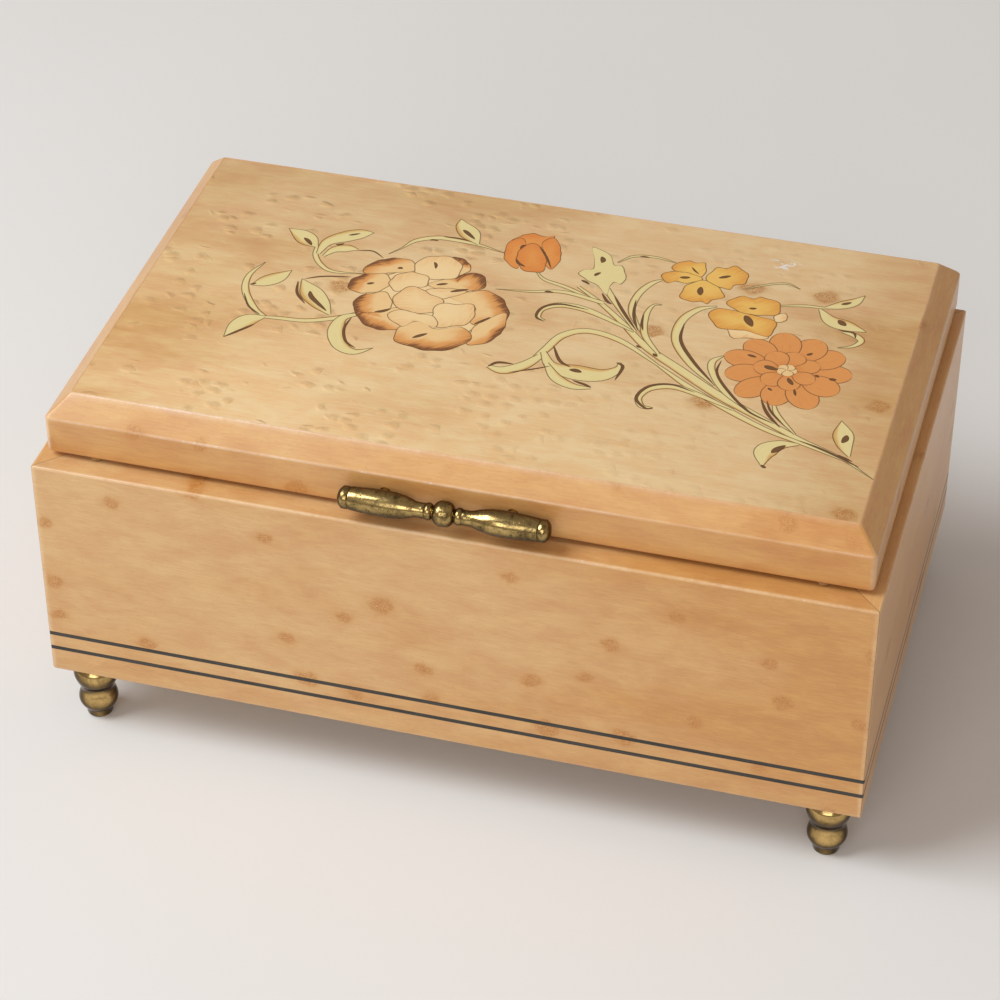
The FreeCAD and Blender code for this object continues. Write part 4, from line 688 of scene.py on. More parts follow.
def board_section(low, high, ease):
    """Square below, eased above."""
    return [(0, low), (0, high - ease), (ease * 0.3, high - ease * 0.3), (ease, high)]


def pad_section(base, face, crown, reach):
    """Tucked edge at the base, a rounded shoulder, then a crown that rises as a quarter sine to the middle."""
    rise = face - base
    shoulder = [(0.2, base), (0.0, base + rise * 0.35), (0.15, base + rise * 0.7), (0.6, base + rise * 0.92)]
    share = np.linspace(0, 1, 7)
    top = np.stack([1.0 + (reach - 1.0) * share, face + crown * np.sin(share * math.pi / 2)], 1)
    return shoulder + top.tolist()


def dress_lid():
    """Four mitred edges with the bevel, the core between them and the veneer on top."""
    profile, join = lid_profile()
    bed = {"spans": HINGE_SPANS, "heights": notched(profile, LEAF_WIDTH, LEAF, False)}
    edges = Bundle(), Bundle()
    for quarter, side in enumerate(SIDES):
        frame_side(edges[quarter % 2], LID_HALF, LID_MIDDLE, LID_Z, quarter, profile, bed if side == "back" else None)
    edges[0].make("lid_edge_long", "lid", "maple", "maple_edge_long", ["lid_panel"])
    edges[1].make("lid_edge_short", "lid", "maple", "maple_edge_short")
    core = Bundle()
    core_half = np.array(LID_HALF) - LID_MARGIN
    layered(core, core_half, LID_MIDDLE, board_section(LID_Z + LID_RECESS, LID_TOP - VENEER - 0.01, 0.05), 0.05)
    core.make("lid_core", "lid", "maple", "plain_board")
    sheet = Bundle()
    top = board_section(LID_TOP - VENEER, LID_TOP - INLAY_RISE, 0.02)
    layered(sheet, np.array(LID_HALF) - join + 0.01, LID_MIDDLE, top, 0.02)
    sheet.make("lid_top", "lid", "inlaid_maple", "maple_top", ["lid_veneer"])


# Marquetry of the lid: a spray of flowers in the traditional manner, its places on the lid in millimetres

INLAY_RISE = 0.08
INLAY_STEP = 0.012
INLAY_SINK = 0.3
LEAST_HALF = 0.02
STEM_LIFT = 0.03
STROKE_LIFT = 0.015
PLATE_LIFT = 0.08
GRAIN_SHIFT = 23.7
# Stems and leaves: place across, place along and half width, point by point
STEMS = (
    (-66.5, 11, 0.17, -68.5, 4.5, 0.77, -67.2, -2.1, 1, -62.6, -8.8, 0.94, -59, -11.5, 0.59),
    (-59.9, -11.7, 0.51, -55.6, -11.1, 0.77, -48.8, -10.3, 0.85, -41.2, -6.6, 0.85, -37.1, -2.9, 0.34),
    (-56.6, 21.4, 0.51, -55.7, 17.2, 0.77, -53, 13.4, 0.77, -49.1, 11.4, 0.59, -41.4, 12.4, 0.17),
    (-38.5, 22.4, 0.17, -36, 26, 0.34, -33.7, 30, 0.77, -29, 32.6, 0.94, -24.3, 32.8, 0.85, -18.2, 32.2, 0.59,
     -11.2, 30.4, 0.17),
    (-1.3, 24.4, 0.34, 1.4, 21.7, 0.59, 7.2, 19.9, 0.68, 14.4, 16.8, 0.51),
    (92.5, -36.1, 0.13, 83.7, -30, 0.59, 73.5, -25.7, 0.94, 62.8, -19.8, 1.2, 51.9, -13.7, 1.4, 41, -6.1, 1.4, 31.4,
     0.8, 1.2, 24.1, 8.6, 0.94, 16.9, 15.5, 0.77, 10, 21, 0.51),
    (88.5, -32.4, 0.085, 77.1, -28, 0.59, 65.6, -24.1, 0.85, 54.9, -18.6, 1, 45.1, -12.6, 0.94, 36.4, -6.2, 0.51),
    (56.8, -18.6, 0.42, 47.6, -14.9, 0.94, 41.3, -13.4, 1.1, 36.5, -15.4, 1.1, 34.7, -19.4, 0.94, 36.1, -22.7, 0.85,
     38.8, -22.9, 0.34),
    (50.5, -10.6, 0.34, 43, -3.2, 0.94, 37.9, 5.1, 1.2, 37.4, 13.3, 1.2, 40.1, 19, 0.94, 44.3, 21.6, 0.34),
    (29.1, 6.3, 0.42, 25, 13.9, 0.94, 24.7, 21.1, 1, 26.7, 26.8, 0.85, 29.5, 29.7, 0.26),
    (35.3, -1.7, 0.51, 30.2, 5.4, 0.94, 28.7, 13, 0.85, 29.3, 17.8, 0.51, 31.3, 18.7, 0.21),
    (36.4, -6.2, 0.42, 25.9, 1.1, 0.94, 17.2, 3.3, 1.1, 11.6, 0, 1.2, 9.2, -6.5, 1.2, 7.5, -11.8, 1),
    (27.5, 5.9, 0.42, 15.2, 11.5, 1.1, 8.1, 12.2, 1.1, 4.2, 9.5, 0.85, 3.9, 5.9, 0.77, 5.9, 4.7, 0.34),
    (17.6, 15.7, 0.77, 7.3, 17.7, 0.77, -0.6, 15.8, 0.51, -9.1, 14.6, 0.13),
    (27.8, 6, 0.42, 20.6, 16.2, 0.85, 16.8, 21.8, 1),
    (16.7, 33.7, 0.26, 20, 37.5, 0.51, 25.4, 38.4, 0.51, 30.5, 37.4, 0.26),
    (49.2, 30.6, 0.26, 53.4, 33.6, 0.42, 58.4, 35.6, 0.42, 62.1, 34.1, 0.17),
    (58.3, 25.7, 0.34, 64.7, 27.4, 0.59, 69.3, 27.7, 0.51),
    (65.1, -13.4, 0.42, 67.1, -18, 0.77, 72.3, -24.1, 0.34),
    (50.4, 2.2, 0.17, 48.1, -1.2, 0.94, 49.3, -6, 0.94, 53.5, -12.3, 0.85, 59.8, -17.8, 0.34),
)
LEAVES = (
    (-66.6, 0.6, 0.3, -64, 2.8, 2.1, -61.3, 5.6, 2.1, -59.1, 9.2, 0.1),
    (-59.1, -11.5, 0.5, -62.2, -13.6, 2.4, -64.2, -17, 2.3, -65.8, -22, 0.15),
    (-44.3, -6.6, 0.4, -47.9, -2.7, 2.4, -51.8, 1.5, 2.8, -55.6, 6.4, 0.15),
    (-56.5, 20.8, 0.5, -59.2, 22.9, 2.5, -62.1, 25, 2.3, -65.8, 26.9, 0.1),
    (-55.3, 17.9, 0.6, -54.6, 23.5, 1.6, -50.9, 27.1, 2.4, -47.4, 29.4, 2, -44.7, 30.5, 0.1),
    (-53.7, 17.2, 0.4, -51.9, 20.7, 1.3, -49, 22.1, 1.6, -46.2, 22.2, 0.3),
    (-37.8, -4.4, 0.6, -41, -7.2, 1.3, -40.9, -12.7, 2.1, -38.1, -18, 1.9, -34.1, -19.7, 1.2, -30.2, -17, 0.1),
    (-18.4, 32.4, 0.4, -21.4, 36.1, 2.6, -24.3, 39.4, 2, -25.6, 42.4, 0.1),
    (8.6, -9.7, 1, 5.8, -14.4, 1.6, 1.6, -17.6, 1.5, -2.3, -16.9, 0.6),
    (8.8, -7.8, 0.8, 12.2, -12.9, 1.7, 18.2, -13.9, 3, 24.1, -13.4, 2.4, 27.3, -10.2, 1.2, 27.3, -7.2, 0.3),
    (10.6, -12.1, 0.7, 14.3, -17.1, 1.5, 18.9, -19.4, 1.2, 23.2, -19.1, 0.4),
    (73.9, -27.6, 0.4, 69.7, -29, 1.8, 67, -32.5, 2.6, 67.5, -38.1, 0.2),
    (69.2, 27.7, 0.4, 72.9, 29.9, 1.6, 75.8, 32.2, 1.5, 77.8, 35.6, 0.1),
    (68.3, 26.9, 0.5, 71.7, 22.9, 2, 76, 21.6, 2.1, 80.7, 20.4, 0.2),
    (75, 18.9, 0.3, 78.3, 18.3, 1, 80.2, 16.4, 0.9, 78.6, 13.7, 0.6, 75.3, 12.2, 0.15),
    (85.7, -29.1, 0.4, 83.9, -25, 2, 82.8, -20.9, 2.4, 81.6, -16.1, 0.1),
)
# Strokes of ink: the greatest half width, then the places
STROKES = (
    (0.64, -52.1, 1.8, -50.7, -0.8, -45.6, -5.3),
    (0.59, -60.8, 23.8, -59.4, 22.7, -57.9, 21),
    (0.34, -50.5, 27.8, -49.4, 28.4, -47.9, 29.3),
    (0.34, -52.3, 22.9, -51.4, 23.2, -50.4, 23.9),
    (0.26, -55, 6.5, -50.9, 8.7, -44.3, 10.3),
    (0.21, -46.3, 21.9, -42.5, 22.5, -39.2, 20.3),
    (0.38, -39, -6.2, -39.3, -11.2, -37.4, -16, -34.3, -18.2),
    (0.26, -67.2, -3.2, -64.3, -8.2, -60.4, -11),
    (0.38, -56.2, 5.1, -54.8, 0.2, -51.6, -3.7),
    (0.34, -65.8, -22, -63.5, -19.1, -60.7, -15.2),
    (0.34, -67, 0.7, -66.3, 1.1, -65.7, 1.7),
    (0.59, -23.8, 37.7, -22.4, 36.6, -19.8, 34.3),
    (0.3, -30.6, 31, -29.6, 31.4, -28.3, 31.3),
    (0.3, -27.4, 33.4, -23.9, 33.6, -20.2, 33.1),
    (0.42, -39.8, 8.4, -39, 8.8, -38.1, 9.3),
    (0.42, -34.5, 16.8, -33.9, 17.2, -33.2, 17.1),
    (0.42, -26.6, 21.9, -25.9, 20.8, -25.5, 19.2),
    (0.51, -34.4, -2.6, -32.7, -1.8, -31, -0.3),
    (0.51, -22.6, -10.6, -21.2, -9.3, -19.6, -7.9),
    (0.51, -19.3, 10.4, -17.5, 11.5, -15.2, 12.6),
    (0.42, -23.4, 12.5, -22.1, 13.1, -20.8, 13.7),
    (0.42, -10, -1.2, -8.6, 0.4, -7, 2.7),
    (0.3, -3.7, 35.7, -0.7, 31.3, 1.6, 26.9),
    (0.42, -7.8, 28.7, -6.6, 26.9, -4.7, 25.9),
    (0.38, -7.1, 35.2, -7.7, 34.4, -7.8, 33.1),
    (0.42, 46.8, -14.3, 40.8, -12.7, 35.9, -14.9, 34.2, -20, 37.1, -23.3, 38.9, -22.8),
    (0.47, 50.1, -9.7, 43.6, -2.1, 39, 5.3, 38.2, 12.5),
    (0.38, 28.1, 6.8, 25.8, 12.6, 24.8, 19.1),
    (0.3, 29.4, 6.9, 28.5, 9.8, 27.9, 14),
    (0.42, -2.2, -17.1, -0.4, -14.9, 3.3, -14.5),
    (0.21, 11.9, -13, 8.4, -15.2, 3.1, -18.1),
    (0.42, 10.5, -4.7, 13.4, -10.2, 16.5, -12.2),
    (0.68, 16.5, -13.2, 18.1, -13.2, 19.6, -13.5),
    (0.42, 26.5, -7.5, 28.3, -8.9, 27.8, -14.5),
    (0.38, 18.3, -17.2, 20.9, -17.9, 23.1, -18.6),
    (0.38, 14.8, 11.9, 8, 12.5, 4.1, 10.2, 3.4, 6, 5.8, 4.4),
    (0.34, 2.6, 16.7, 3.6, 16.9, 4.9, 16.8),
    (0.68, 12.3, 35.2, 13, 33.8, 13, 32.5),
    (0.47, 12.7, 26.4, 13, 27.3, 13.8, 28.3),
    (0.42, 16.2, 19.7, 18.1, 16.8, 19.6, 15.7),
    (0.42, 19.2, 19.7, 22.9, 13.6, 27.7, 6.7),
    (0.42, 10, 23.8, 11.1, 23.4, 12.4, 22.6),
    (0.3, 21.3, 37.6, 22.4, 37.9, 23.8, 37.9),
    (0.51, 32.8, 31.4, 34, 31.6, 35.3, 32),
    (0.26, 34.7, 36.5, 35.7, 35.2, 37, 34),
    (0.51, 42, 33.6, 43.3, 34.4, 44.7, 35.3),
    (0.77, 38.7, 28.7, 38.9, 26.8, 39.3, 25.1),
    (1, 51.5, 19.6, 52.7, 17.7, 54.1, 15.4),
    (0.42, 51.8, 22.8, 52.7, 22.9, 53.6, 23.2),
    (0.85, 73.4, 23.6, 74.4, 22.6, 75.6, 21.7),
    (0.47, 72.8, 30.3, 73.9, 30.9, 75.1, 31.8),
    (0.34, 74.1, 19.6, 77.8, 19.2, 78.7, 17.2),
    (0.77, 68.5, -32.4, 69.5, -30.8, 71.1, -28.8),
    (0.42, 67.3, -37.4, 67.9, -38, 68.5, -38.1),
    (0.77, 83.8, -21.3, 83.7, -22.9, 83.2, -24.5),
    (0.3, 82.9, -29.1, 84.9, -30, 86.7, -30.8),
    (0.42, 62.1, -12.9, 64.6, -17.9, 68.5, -22.5),
    (0.3, 63.5, -13, 65.3, -17, 69.6, -21.9),
    (0.38, 50, -0.1, 50, -5.1, 53.3, -10.7, 60, -18.1, 67, -21.5),
    (0.42, 33.9, -1.6, 34.5, -2.2, 35.2, -2.5),
    (0.34, 29.3, 0.5, 29.9, 0.2, 30.7, -0.1),
    (0.26, 73.6, -26.2, 80.3, -28.4, 88.5, -32.4),
    (0.77, 60.1, 0.3, 61.4, 0, 63.6, -0.4),
    (0.42, 55.4, 3.8, 56.4, 3.6, 57.7, 3.3),
    (0.42, 68.8, 7.3, 69.5, 7.8, 70.1, 8.4),
    (0.51, 75.7, -0.8, 76.5, -0.8, 77.5, -0.7),
    (0.42, 72.4, 0, 72.8, -0.4, 73.4, -0.7),
    (0.59, 66.4, -2.9, 67.2, -4.2, 68.1, -5.4),
    (0.34, 68.7, -6.9, 69.1, -8.2, 69.5, -9.4),
    (0.34, 62.7, -8.1, 63.2, -8.4, 63.9, -8.9),
)
# Plates: veneer, level, burn point, share of shading and outlines
PLATES = (
    ("cream", 0.6, (-23.2, 4.5), 0, (
        (-39.5, 6.4, -35.9, 13.8, -28.9, 20, -19.2, 17.2, -11.8, 9.7, -8.5, -1.8, -17.2, -9.3, -27.7, -7, -35.7, -2),
    )),
    ("tan", 1.2, (-23.2, 4.5), 1, (
        (-42.2, 13, -41.7, 17.1, -38, 20.5, -33.5, 21.5, -30.4, 19.4, -30.5, 16.6, -36, 14.2, -39.3, 12.3),
        (-23.9, 24.4, -20.7, 25.5, -17.4, 22.5, -17.5, 19.6, -19.9, 17.7, -22.2, 21),
        (-44.1, 6.7, -43.6, 10, -40.8, 12.7, -36.4, 13.7, -34.1, 10.4, -35.7, 6.2, -39.4, 4.3, -42.4, 4.6),
        (-25.3, 12.2, -23.6, 14.3, -19.7, 17.1, -16.5, 20, -12.8, 18.7, -11.7, 14.8, -14.7, 11.9, -19.4, 10, -23.2,
         10.8),
        (-39.9, -2.3, -40.4, 2, -37.7, 4.8, -34, 6.2, -31.4, 2.3, -31.1, -1.6, -33.9, -3.8, -37, -5.1),
        (-38.6, -4.2, -34.3, -2.6, -29.9, 0.6, -24.8, -2.3, -25.9, -7.1, -29.9, -9.3, -34.7, -8.6),
        (-18.9, 8.6, -14.8, 12, -10.4, 13.2, -6.3, 11, -3.2, 5.6, -3.1, -0.5, -6.7, -1.9, -10.9, -1, -11.6, 5.4,
         -15, 6.6),
        (-9.5, -9.3, -9.8, -2.2, -7.1, 2.3, -4.2, 5.3, -3.1, 3.6, -2.6, -2.2, -4.6, -7.4, -7, -9.4),
        (-27, -12.1, -26.6, -6.7, -23.7, -2.5, -18.2, -5.5, -12.2, -3, -9, -8.2, -13.6, -13.4, -18.5, -14.7, -23.9,
         -13.7),
    )),
    ("cream", 2.4, (-23.2, 4.5), 0.25, (
        (-30.5, 17.2, -30.6, 21.7, -27.3, 24.6, -22.6, 25, -19.4, 21.7, -19.8, 16.4, -25.1, 14.4, -29, 15.5),
        (-25.6, 7.2, -24.5, 10.3, -20, 11.9, -15.3, 11.7, -19.3, 7.5, -23.4, 5.7),
        (-34.6, 9.7, -34.1, 13.8, -30.7, 16.3, -26.1, 15.2, -25.6, 11.2, -28.7, 9.6, -32, 7.2),
        (-31.2, 1.8, -31.4, 7, -28.4, 10.5, -24, 8.5, -19.4, 6.1, -20.3, 1.1, -25.6, -0.5),
        (-20.8, 0, -20.8, 4.7, -16.5, 5.8, -11.9, 6.3, -11, -0.7, -15.3, -3.9, -19.1, -4.7),
        (-31.3, -2.9, -28.7, -0.1, -23.9, -0.4, -19.7, -0.8, -18.5, -5, -23.5, -3.8, -26.6, -6.7),
    )),
    ("rust", 1, (-3.6, 29.3), 0.3, (
        (-10.9, 36.2, -9.2, 39, -6.6, 40.9, -3.5, 40.2, -0.9, 40.8, -2.3, 35.6, -5.5, 35.4, -7.9, 34.1),
        (-11.2, 30, -11.4, 35.6, -9, 38, -7, 35.5, -7.6, 30.6, -6.2, 25.2, -7.9, 25, -10.1, 27.2),
        (-3.4, 37.1, -1, 40.4, 1.8, 35.8, 2.9, 30.7, 1.9, 26.5, -0.4, 28.5, -1.9, 33.2),
        (-7.8, 28.7, -7.7, 34, -5.7, 36.3, -2.9, 35.2, -0.5, 30.9, 0.2, 25.6, -1.8, 24, -4.8, 24.3),
    )),
    ("yellow", 1, (38.6, 32.2), 0.4, (
        (29.9, 36.2, 32.9, 39, 35.4, 38.8, 37.7, 38.9, 38.3, 33.3, 34.3, 32.7, 30.9, 33.9),
        (38.9, 32.7, 40.5, 37.8, 42.8, 38.4, 45.2, 39.8, 48.7, 36.9, 48.7, 33, 46.3, 31.3, 45.4, 29.4, 41.1, 30.2),
        (28.2, 30.6, 30, 33.4, 34.8, 33.9, 38.3, 32.1, 35.1, 29.3, 32.3, 29.4, 30.5, 28.3),
        (34.6, 23.4, 35.2, 28.7, 38.7, 31.7, 42.5, 30, 45.1, 26.2, 42.5, 23.7, 41.6, 21.9, 40, 22.5, 37.4, 21.8),
    )),
    ("cream", 1, (52.7, 20.2), 0.3, (
        (48.5, 13.4, 52.7, 13.7, 58.5, 12.6, 57.4, 10.8, 53.4, 10.3, 50.6, 9.5),
        (58.2, 21.4, 60.8, 23.1, 61.5, 20.1, 59.2, 18.7),
    )),
    ("yellow", 2, (52.7, 20.2), 0.4, (
        (46.2, 23.4, 48.5, 27.3, 51.9, 27.2, 53.9, 28.3, 58.6, 26.8, 59, 22.1, 55.3, 20.6, 50.6, 20.4),
        (43.1, 17.3, 44.4, 21, 48.5, 20.9, 52.6, 20.4, 58.5, 19.3, 59.7, 15.9, 58.4, 12.4, 52.8, 13.3, 48.9, 12.7,
         45.7, 13.3),
    )),
    ("green", 1.6, (14, 30.1), 0, (
        (8.8, 39.1, 11.9, 38, 14.4, 36, 16.2, 32.6, 18.1, 32.5, 20.1, 28.7, 20, 24.5, 18.1, 25, 17.3, 23, 17.4,
         19.2, 14.6, 22.2, 11.3, 24.2, 8.6, 26.1, 9.5, 28.4, 11.5, 29.5, 10.7, 34),
    )),
)
DAHLIA_CENTRE = (65.6, 0.0)
DAHLIA_REACH = 15.2
# Rings: veneer, petals, two radii and half width as shares of the reach, level, shade, phase and unevenness
DAHLIA_RINGS = (
    ("orange", 11, 0.24, 1.0, 0.25, 1, "inner", 0.1, 0.05),
    ("orange", 7, 0.1, 0.52, 0.19, 2.2, "inner", 0.5, 0.08),
    ("tan", 5, 0.0, 0.16, 0.1, 3.4, "plain", 0.0, 0.0),
)
SHADES = {
    "plain": lambda along, across, rim: np.zeros(rim.shape),
    "side": lambda along, across, rim: np.clip((across - 0.4) / 0.75, 0, 0.8) * np.clip(along * 4, 0, 1) + 0 * rim,
    "inner": lambda along, across, rim: np.clip(1 - along / 0.5, 0, 1) * 0.55 + 0 * rim,
}


def blade(bundle, spine, half, level, shade, seed, columns=7):
    """Flat inlaid piece: at each station of the spine the points go square to it by the half width times a share
    from -1 to 1, on top and again below, inside the lid. It carries the distance to its outline, its sand shading
    and its own places along and beside the spine."""
    step = np.gradient(spine, axis=0)
    length = np.maximum(np.hypot(step[:, 0], step[:, 1]), 1e-9)
    square = np.stack([-step[:, 1], step[:, 0]], 1) / length[:, None]
    share = np.linspace(-1, 1, columns)
    flat = spine[:, None, :] + square[:, None, :] * (share[:, None] * half[:, None, None])
    top = LID_TOP - INLAY_RISE + INLAY_STEP * (level + 1)
    upper = np.concatenate([flat, np.full(flat.shape[:2] + (1,), top)], 2)
    lower = upper[:, ::-1] - (0, 0, INLAY_SINK)
    along = np.linspace(0, 1, len(spine))[:, None]
    rim = half[:, None] * (1 - np.abs(share))
    scorch = SHADES[shade](along, share[None, :], rim)
    run = np.broadcast_to((np.cumsum(length) + seed * GRAIN_SHIFT)[:, None], rim.shape)
    beside = half[:, None] * share
    values = {"rim": rim, "scorch": scorch, "along": run, "beside": beside}
    values = {label: np.concatenate([part, part[:, ::-1]], 1) for label, part in values.items()}
    faces = tube_faces(len(spine), 2 * columns, half[0] > 1e-3, half[-1] > 1e-3)
    bundle.add(np.concatenate([upper, lower], 1), faces, **values)


def leaf(bundle, row, level, seed, count):
    """Leaf or stem: a smooth curve through the places of the row, with half widths eased between the given ones."""
    path = smooth_path(np.reshape(row, (-1, 3)), count)
    blade(bundle, path[:, :2], np.clip(path[:, 2], LEAST_HALF, None), level, "side", seed)


def stroke(bundle, row, level, seed, count=24):
    """Ink stroke: a smooth curve through the places of the row, the half width swelling as a half sine to the power
    0.6."""
    half = np.clip(row[0] * np.sin(np.linspace(0, math.pi, count)) ** 0.6, LEAST_HALF, None)
    blade(bundle, smooth_path(np.reshape(row[1:], (-1, 2)), count), half, level, "plain", seed)


def petal(bundle, base, tip, width, level, shade, seed, bend=0.0, neck=0.2, peak=0.58):
    """Petal from base to tip: the half width rises as a quarter sine to the peak, then closes as a quarter ellipse.
    The spine bows sideways by four times the bend at its middle, as a share of its length."""
    base, tip = np.asarray(base, float), np.asarray(tip, float)
    share = (1 - np.cos(np.linspace(0, math.pi, 21))) / 2
    reach = tip - base
    spine = base + reach * share[:, None]
    spine = spine + np.array([-reach[1], reach[0]]) * (4 * bend * share * (1 - share))[:, None]
    rise = neck + (1 - neck) * np.sin(math.pi / 2 * np.clip(share / peak, 0, 1))
    fall = np.sqrt(np.clip(1 - (np.clip(share - peak, 0, 1) / (1 - peak)) ** 2, 0, 1))
    blade(bundle, spine, width * np.where(share < peak, rise, fall), level, shade, seed)


def ring_of_petals(bundle, centre, count, inner, outer, width, level, shade, phase, uneven):
    """Petals round a centre from an inner to an outer radius. Unevenness turns and stretches each one by sines of
    its number."""
    for number in range(count):
        turn = phase + 2 * math.pi * number / count + uneven * 0.5 * math.sin(5 * number + 1)
        stretch = 1 + uneven * math.sin(3 * number + phase)
        way = np.array([math.cos(turn), math.sin(turn)])
        breadth = width * (1 + uneven * math.sin(7 * number))
        petal(bundle, centre + way * inner, centre + way * outer * stretch, breadth,
              level + 0.8 * number / count, shade, number + phase * 3, bend=uneven * 0.4 * math.sin(2 * number))


def plate(bundle, outline, level, burn, amount, seed, count=44):
    """Flat inlaid piece with a free outline: a smooth closed curve through the points, rippled by a sine of the
    angle and filled by shares of the way from its middle, on top and again below. The shading grows towards the
    outline on the side that faces away from the burn point."""
    outline = np.reshape(outline, (-1, 2))
    fine = 12
    around = smooth_path(np.concatenate([outline[-2:], outline, outline[:3]]), (len(outline) + 4) * fine + 1)
    around = around[2 * fine:(2 + len(outline)) * fine][::max(1, len(outline) * fine // count)]
    middle = around.mean(0)
    angle = np.arctan2(*(around - middle).T[::-1])
    around = middle + (around - middle) * (1 + 0.03 * np.sin(7 * angle + 2 * seed))[:, None]
    share = np.array([0, 0.3, 0.55, 0.75, 0.88, 0.95, 1.0, 1.0, 0.0])
    flat = middle + (around - middle) * share[:, None, None]
    top = LID_TOP - INLAY_RISE + INLAY_STEP * (level + 1)
    height = np.where(np.arange(len(share)) < len(share) - 2, top, top - INLAY_SINK)
    points = np.concatenate([flat, np.broadcast_to(height[:, None, None], flat.shape[:2] + (1,))], 2)
    radius = np.hypot(*(around - middle).T)
    rim = (1 - share)[:, None] * radius
    away = (around - burn) / np.maximum(np.hypot(*(around - burn).T), 1e-6)[:, None]
    facing = np.clip(np.sum(away * (around - middle), 1) / radius * 1.3 - 0.1, 0, 1)
    scorch = np.clip(1.12 - rim / 5.2, 0, 1) * facing * amount
    turn = 0.9 + 0.7 * math.sin(3.1 * seed)
    along = flat[..., 0] * math.cos(turn) + flat[..., 1] * math.sin(turn) + GRAIN_SHIFT * seed
    beside = flat[..., 1] * math.cos(turn) - flat[..., 0] * math.sin(turn)
    faces = tube_faces(len(share), len(around))
    bundle.add(points, faces, rim=rim, scorch=scorch, along=along, beside=beside)


def inlay_lid():
    """Stems, leaves, the peony, the dahlia, two small blossoms and the tulip, one mesh for each veneer."""
    sets = {label: Bundle() for label in VENEERS}
    for number, row in enumerate(STEMS):
        leaf(sets["green"], row, STEM_LIFT * number, number, 44)
    for number, row in enumerate(LEAVES):
        leaf(sets["green"], row, 1 + STEM_LIFT * number, number + 40, 26)
    for number, row in enumerate(STROKES):
        stroke(sets["ink"], row, 4 + STROKE_LIFT * number, number + 60)
    for veneer, level, burn, amount, outlines in PLATES:
        for number, outline in enumerate(outlines):
            plate(sets[veneer], outline, level + PLATE_LIFT * number, np.array(burn), amount, number + level)
    for veneer, count, inner, outer, width, *rest in DAHLIA_RINGS:
        shares = np.array([inner, outer, width]) * DAHLIA_REACH
        ring_of_petals(sets[veneer], np.array(DAHLIA_CENTRE), count, *shares, *rest)
    for label, bundle in sets.items():
        bundle.make("inlay_" + label, "lid", "inlaid_maple", "inlay_" + label, sharp=30.0)


# Turned brass

def turned(bundle, profile, place, along_x=False, steps=72):
    """Turned work: each point of the profile, radius and height, goes round the axis through the place."""
    radius, height = np.asarray(profile, float).T
    angle = np.linspace(0, 2 * math.pi, steps, endpoint=False)
    across = radius[:, None] * np.cos(angle)
    beside = radius[:, None] * np.sin(angle)
    up = np.broadcast_to(height[:, None], across.shape)
    points = np.stack([up, across, beside] if along_x else [across, beside, up], 2) + place
    bundle.add(points, tube_faces(len(radius), steps))


def foot_profile():
    """Foot from the table up: button, then one smooth curve through bead, neck and ball, and the collar."""
    return np.concatenate([
        [(0, 0), (2.8, 0)],
        arc((2.8, 0.4), 0.4, -90, 0, 4),
        [(3.2, 1.9)],
        smooth_path([(3.25, 2.0), (4.1, 2.9), (4.75, 4.2), (4.85, 5.4), (4.55, 6.7), (4.2, 7.7), (4.15, 8.5),
                     (4.4, 9.5), (5.1, 10.9), (5.55, 12.4), (5.58, 13.5), (5.25, 14.7), (4.5, 15.6)], 49),
        [(4.4, 17.0), (0, 17.0)],
    ])


def pull_profile():
    """Bar from one end to the other: dome, cap with a scored ring, long lobe, neck, ring and half of the bead,
    then the same mirrored."""
    half = np.concatenate([
        [(0, 25.0)],
        bowed((0.6, 24.96), (2.7, 23.7), 0.32, 9),
        [(2.7, 22.5), (2.52, 22.3), (2.7, 22.1)],
        bowed((2.72, 21.9), (3.1, 13.6), 0.1, 12),
        bowed((3.1, 13.4), (1.82, 6.6), 0.34, 14),
        bowed((1.82, 6.55), (1.8, 4.6), -0.05, 5),
        bowed((1.7, 4.45), (1.3, 2.55), 0.55, 10),
        bowed((1.3, 2.5), (3.0, 0.0), 0.62, 9),
    ])
    return np.concatenate([half, (half * (1, -1))[-2::-1]])


def dress_brass():
    """Feet and pull bar."""
    for corner, (x, y) in FOOT_PLACES.items():
        foot = Bundle()
        turned(foot, foot_profile(), (x, y, 0))
        foot.make("turned_foot_" + corner, "case", "antique_brass", "foot_brass", ["foot_" + corner], sharp=50.0)
    bar = Bundle()
    turned(bar, pull_profile(), PULL_PLACE, along_x=True)
    bar.make("turned_pull", "lid", "antique_brass", "antique_brass", ["pull_bar"], sharp=50.0)


# Linings and covered boards

BOARDS = {
    "bay": ((-17.6, -14.6), (-52.6, 49.4)),
    "cross": ((-90.0, -17.6), (-11.1, -8.1)),
    "ring": ((50.0, 53.0), (-52.6, 49.4)),
}
BOARD_TOP = 74.0
FLOOR_BAYS = (((-90.0, -17.6), (-52.6, -11.1)), ((-14.6, 50.0), (-52.6, 49.4)))
ROLL_X, ROLL_PITCH, ROLL_WIDTH, ROLL_COUNT = 57.625, 9.25, 8.75, 4
ROLL_Y = (-52.3, 49.1)
ROLL_Z = (64.0, 75.0)
BUMPERS = ((-86.0, -55.6), (86.0, -55.6))


def half_and_middle(across, along):
    """Half sizes and middle of a rectangle between two places each way."""
    return np.array([np.ptp(across), np.ptp(along)]) / 2, (np.mean(across), np.mean(along))


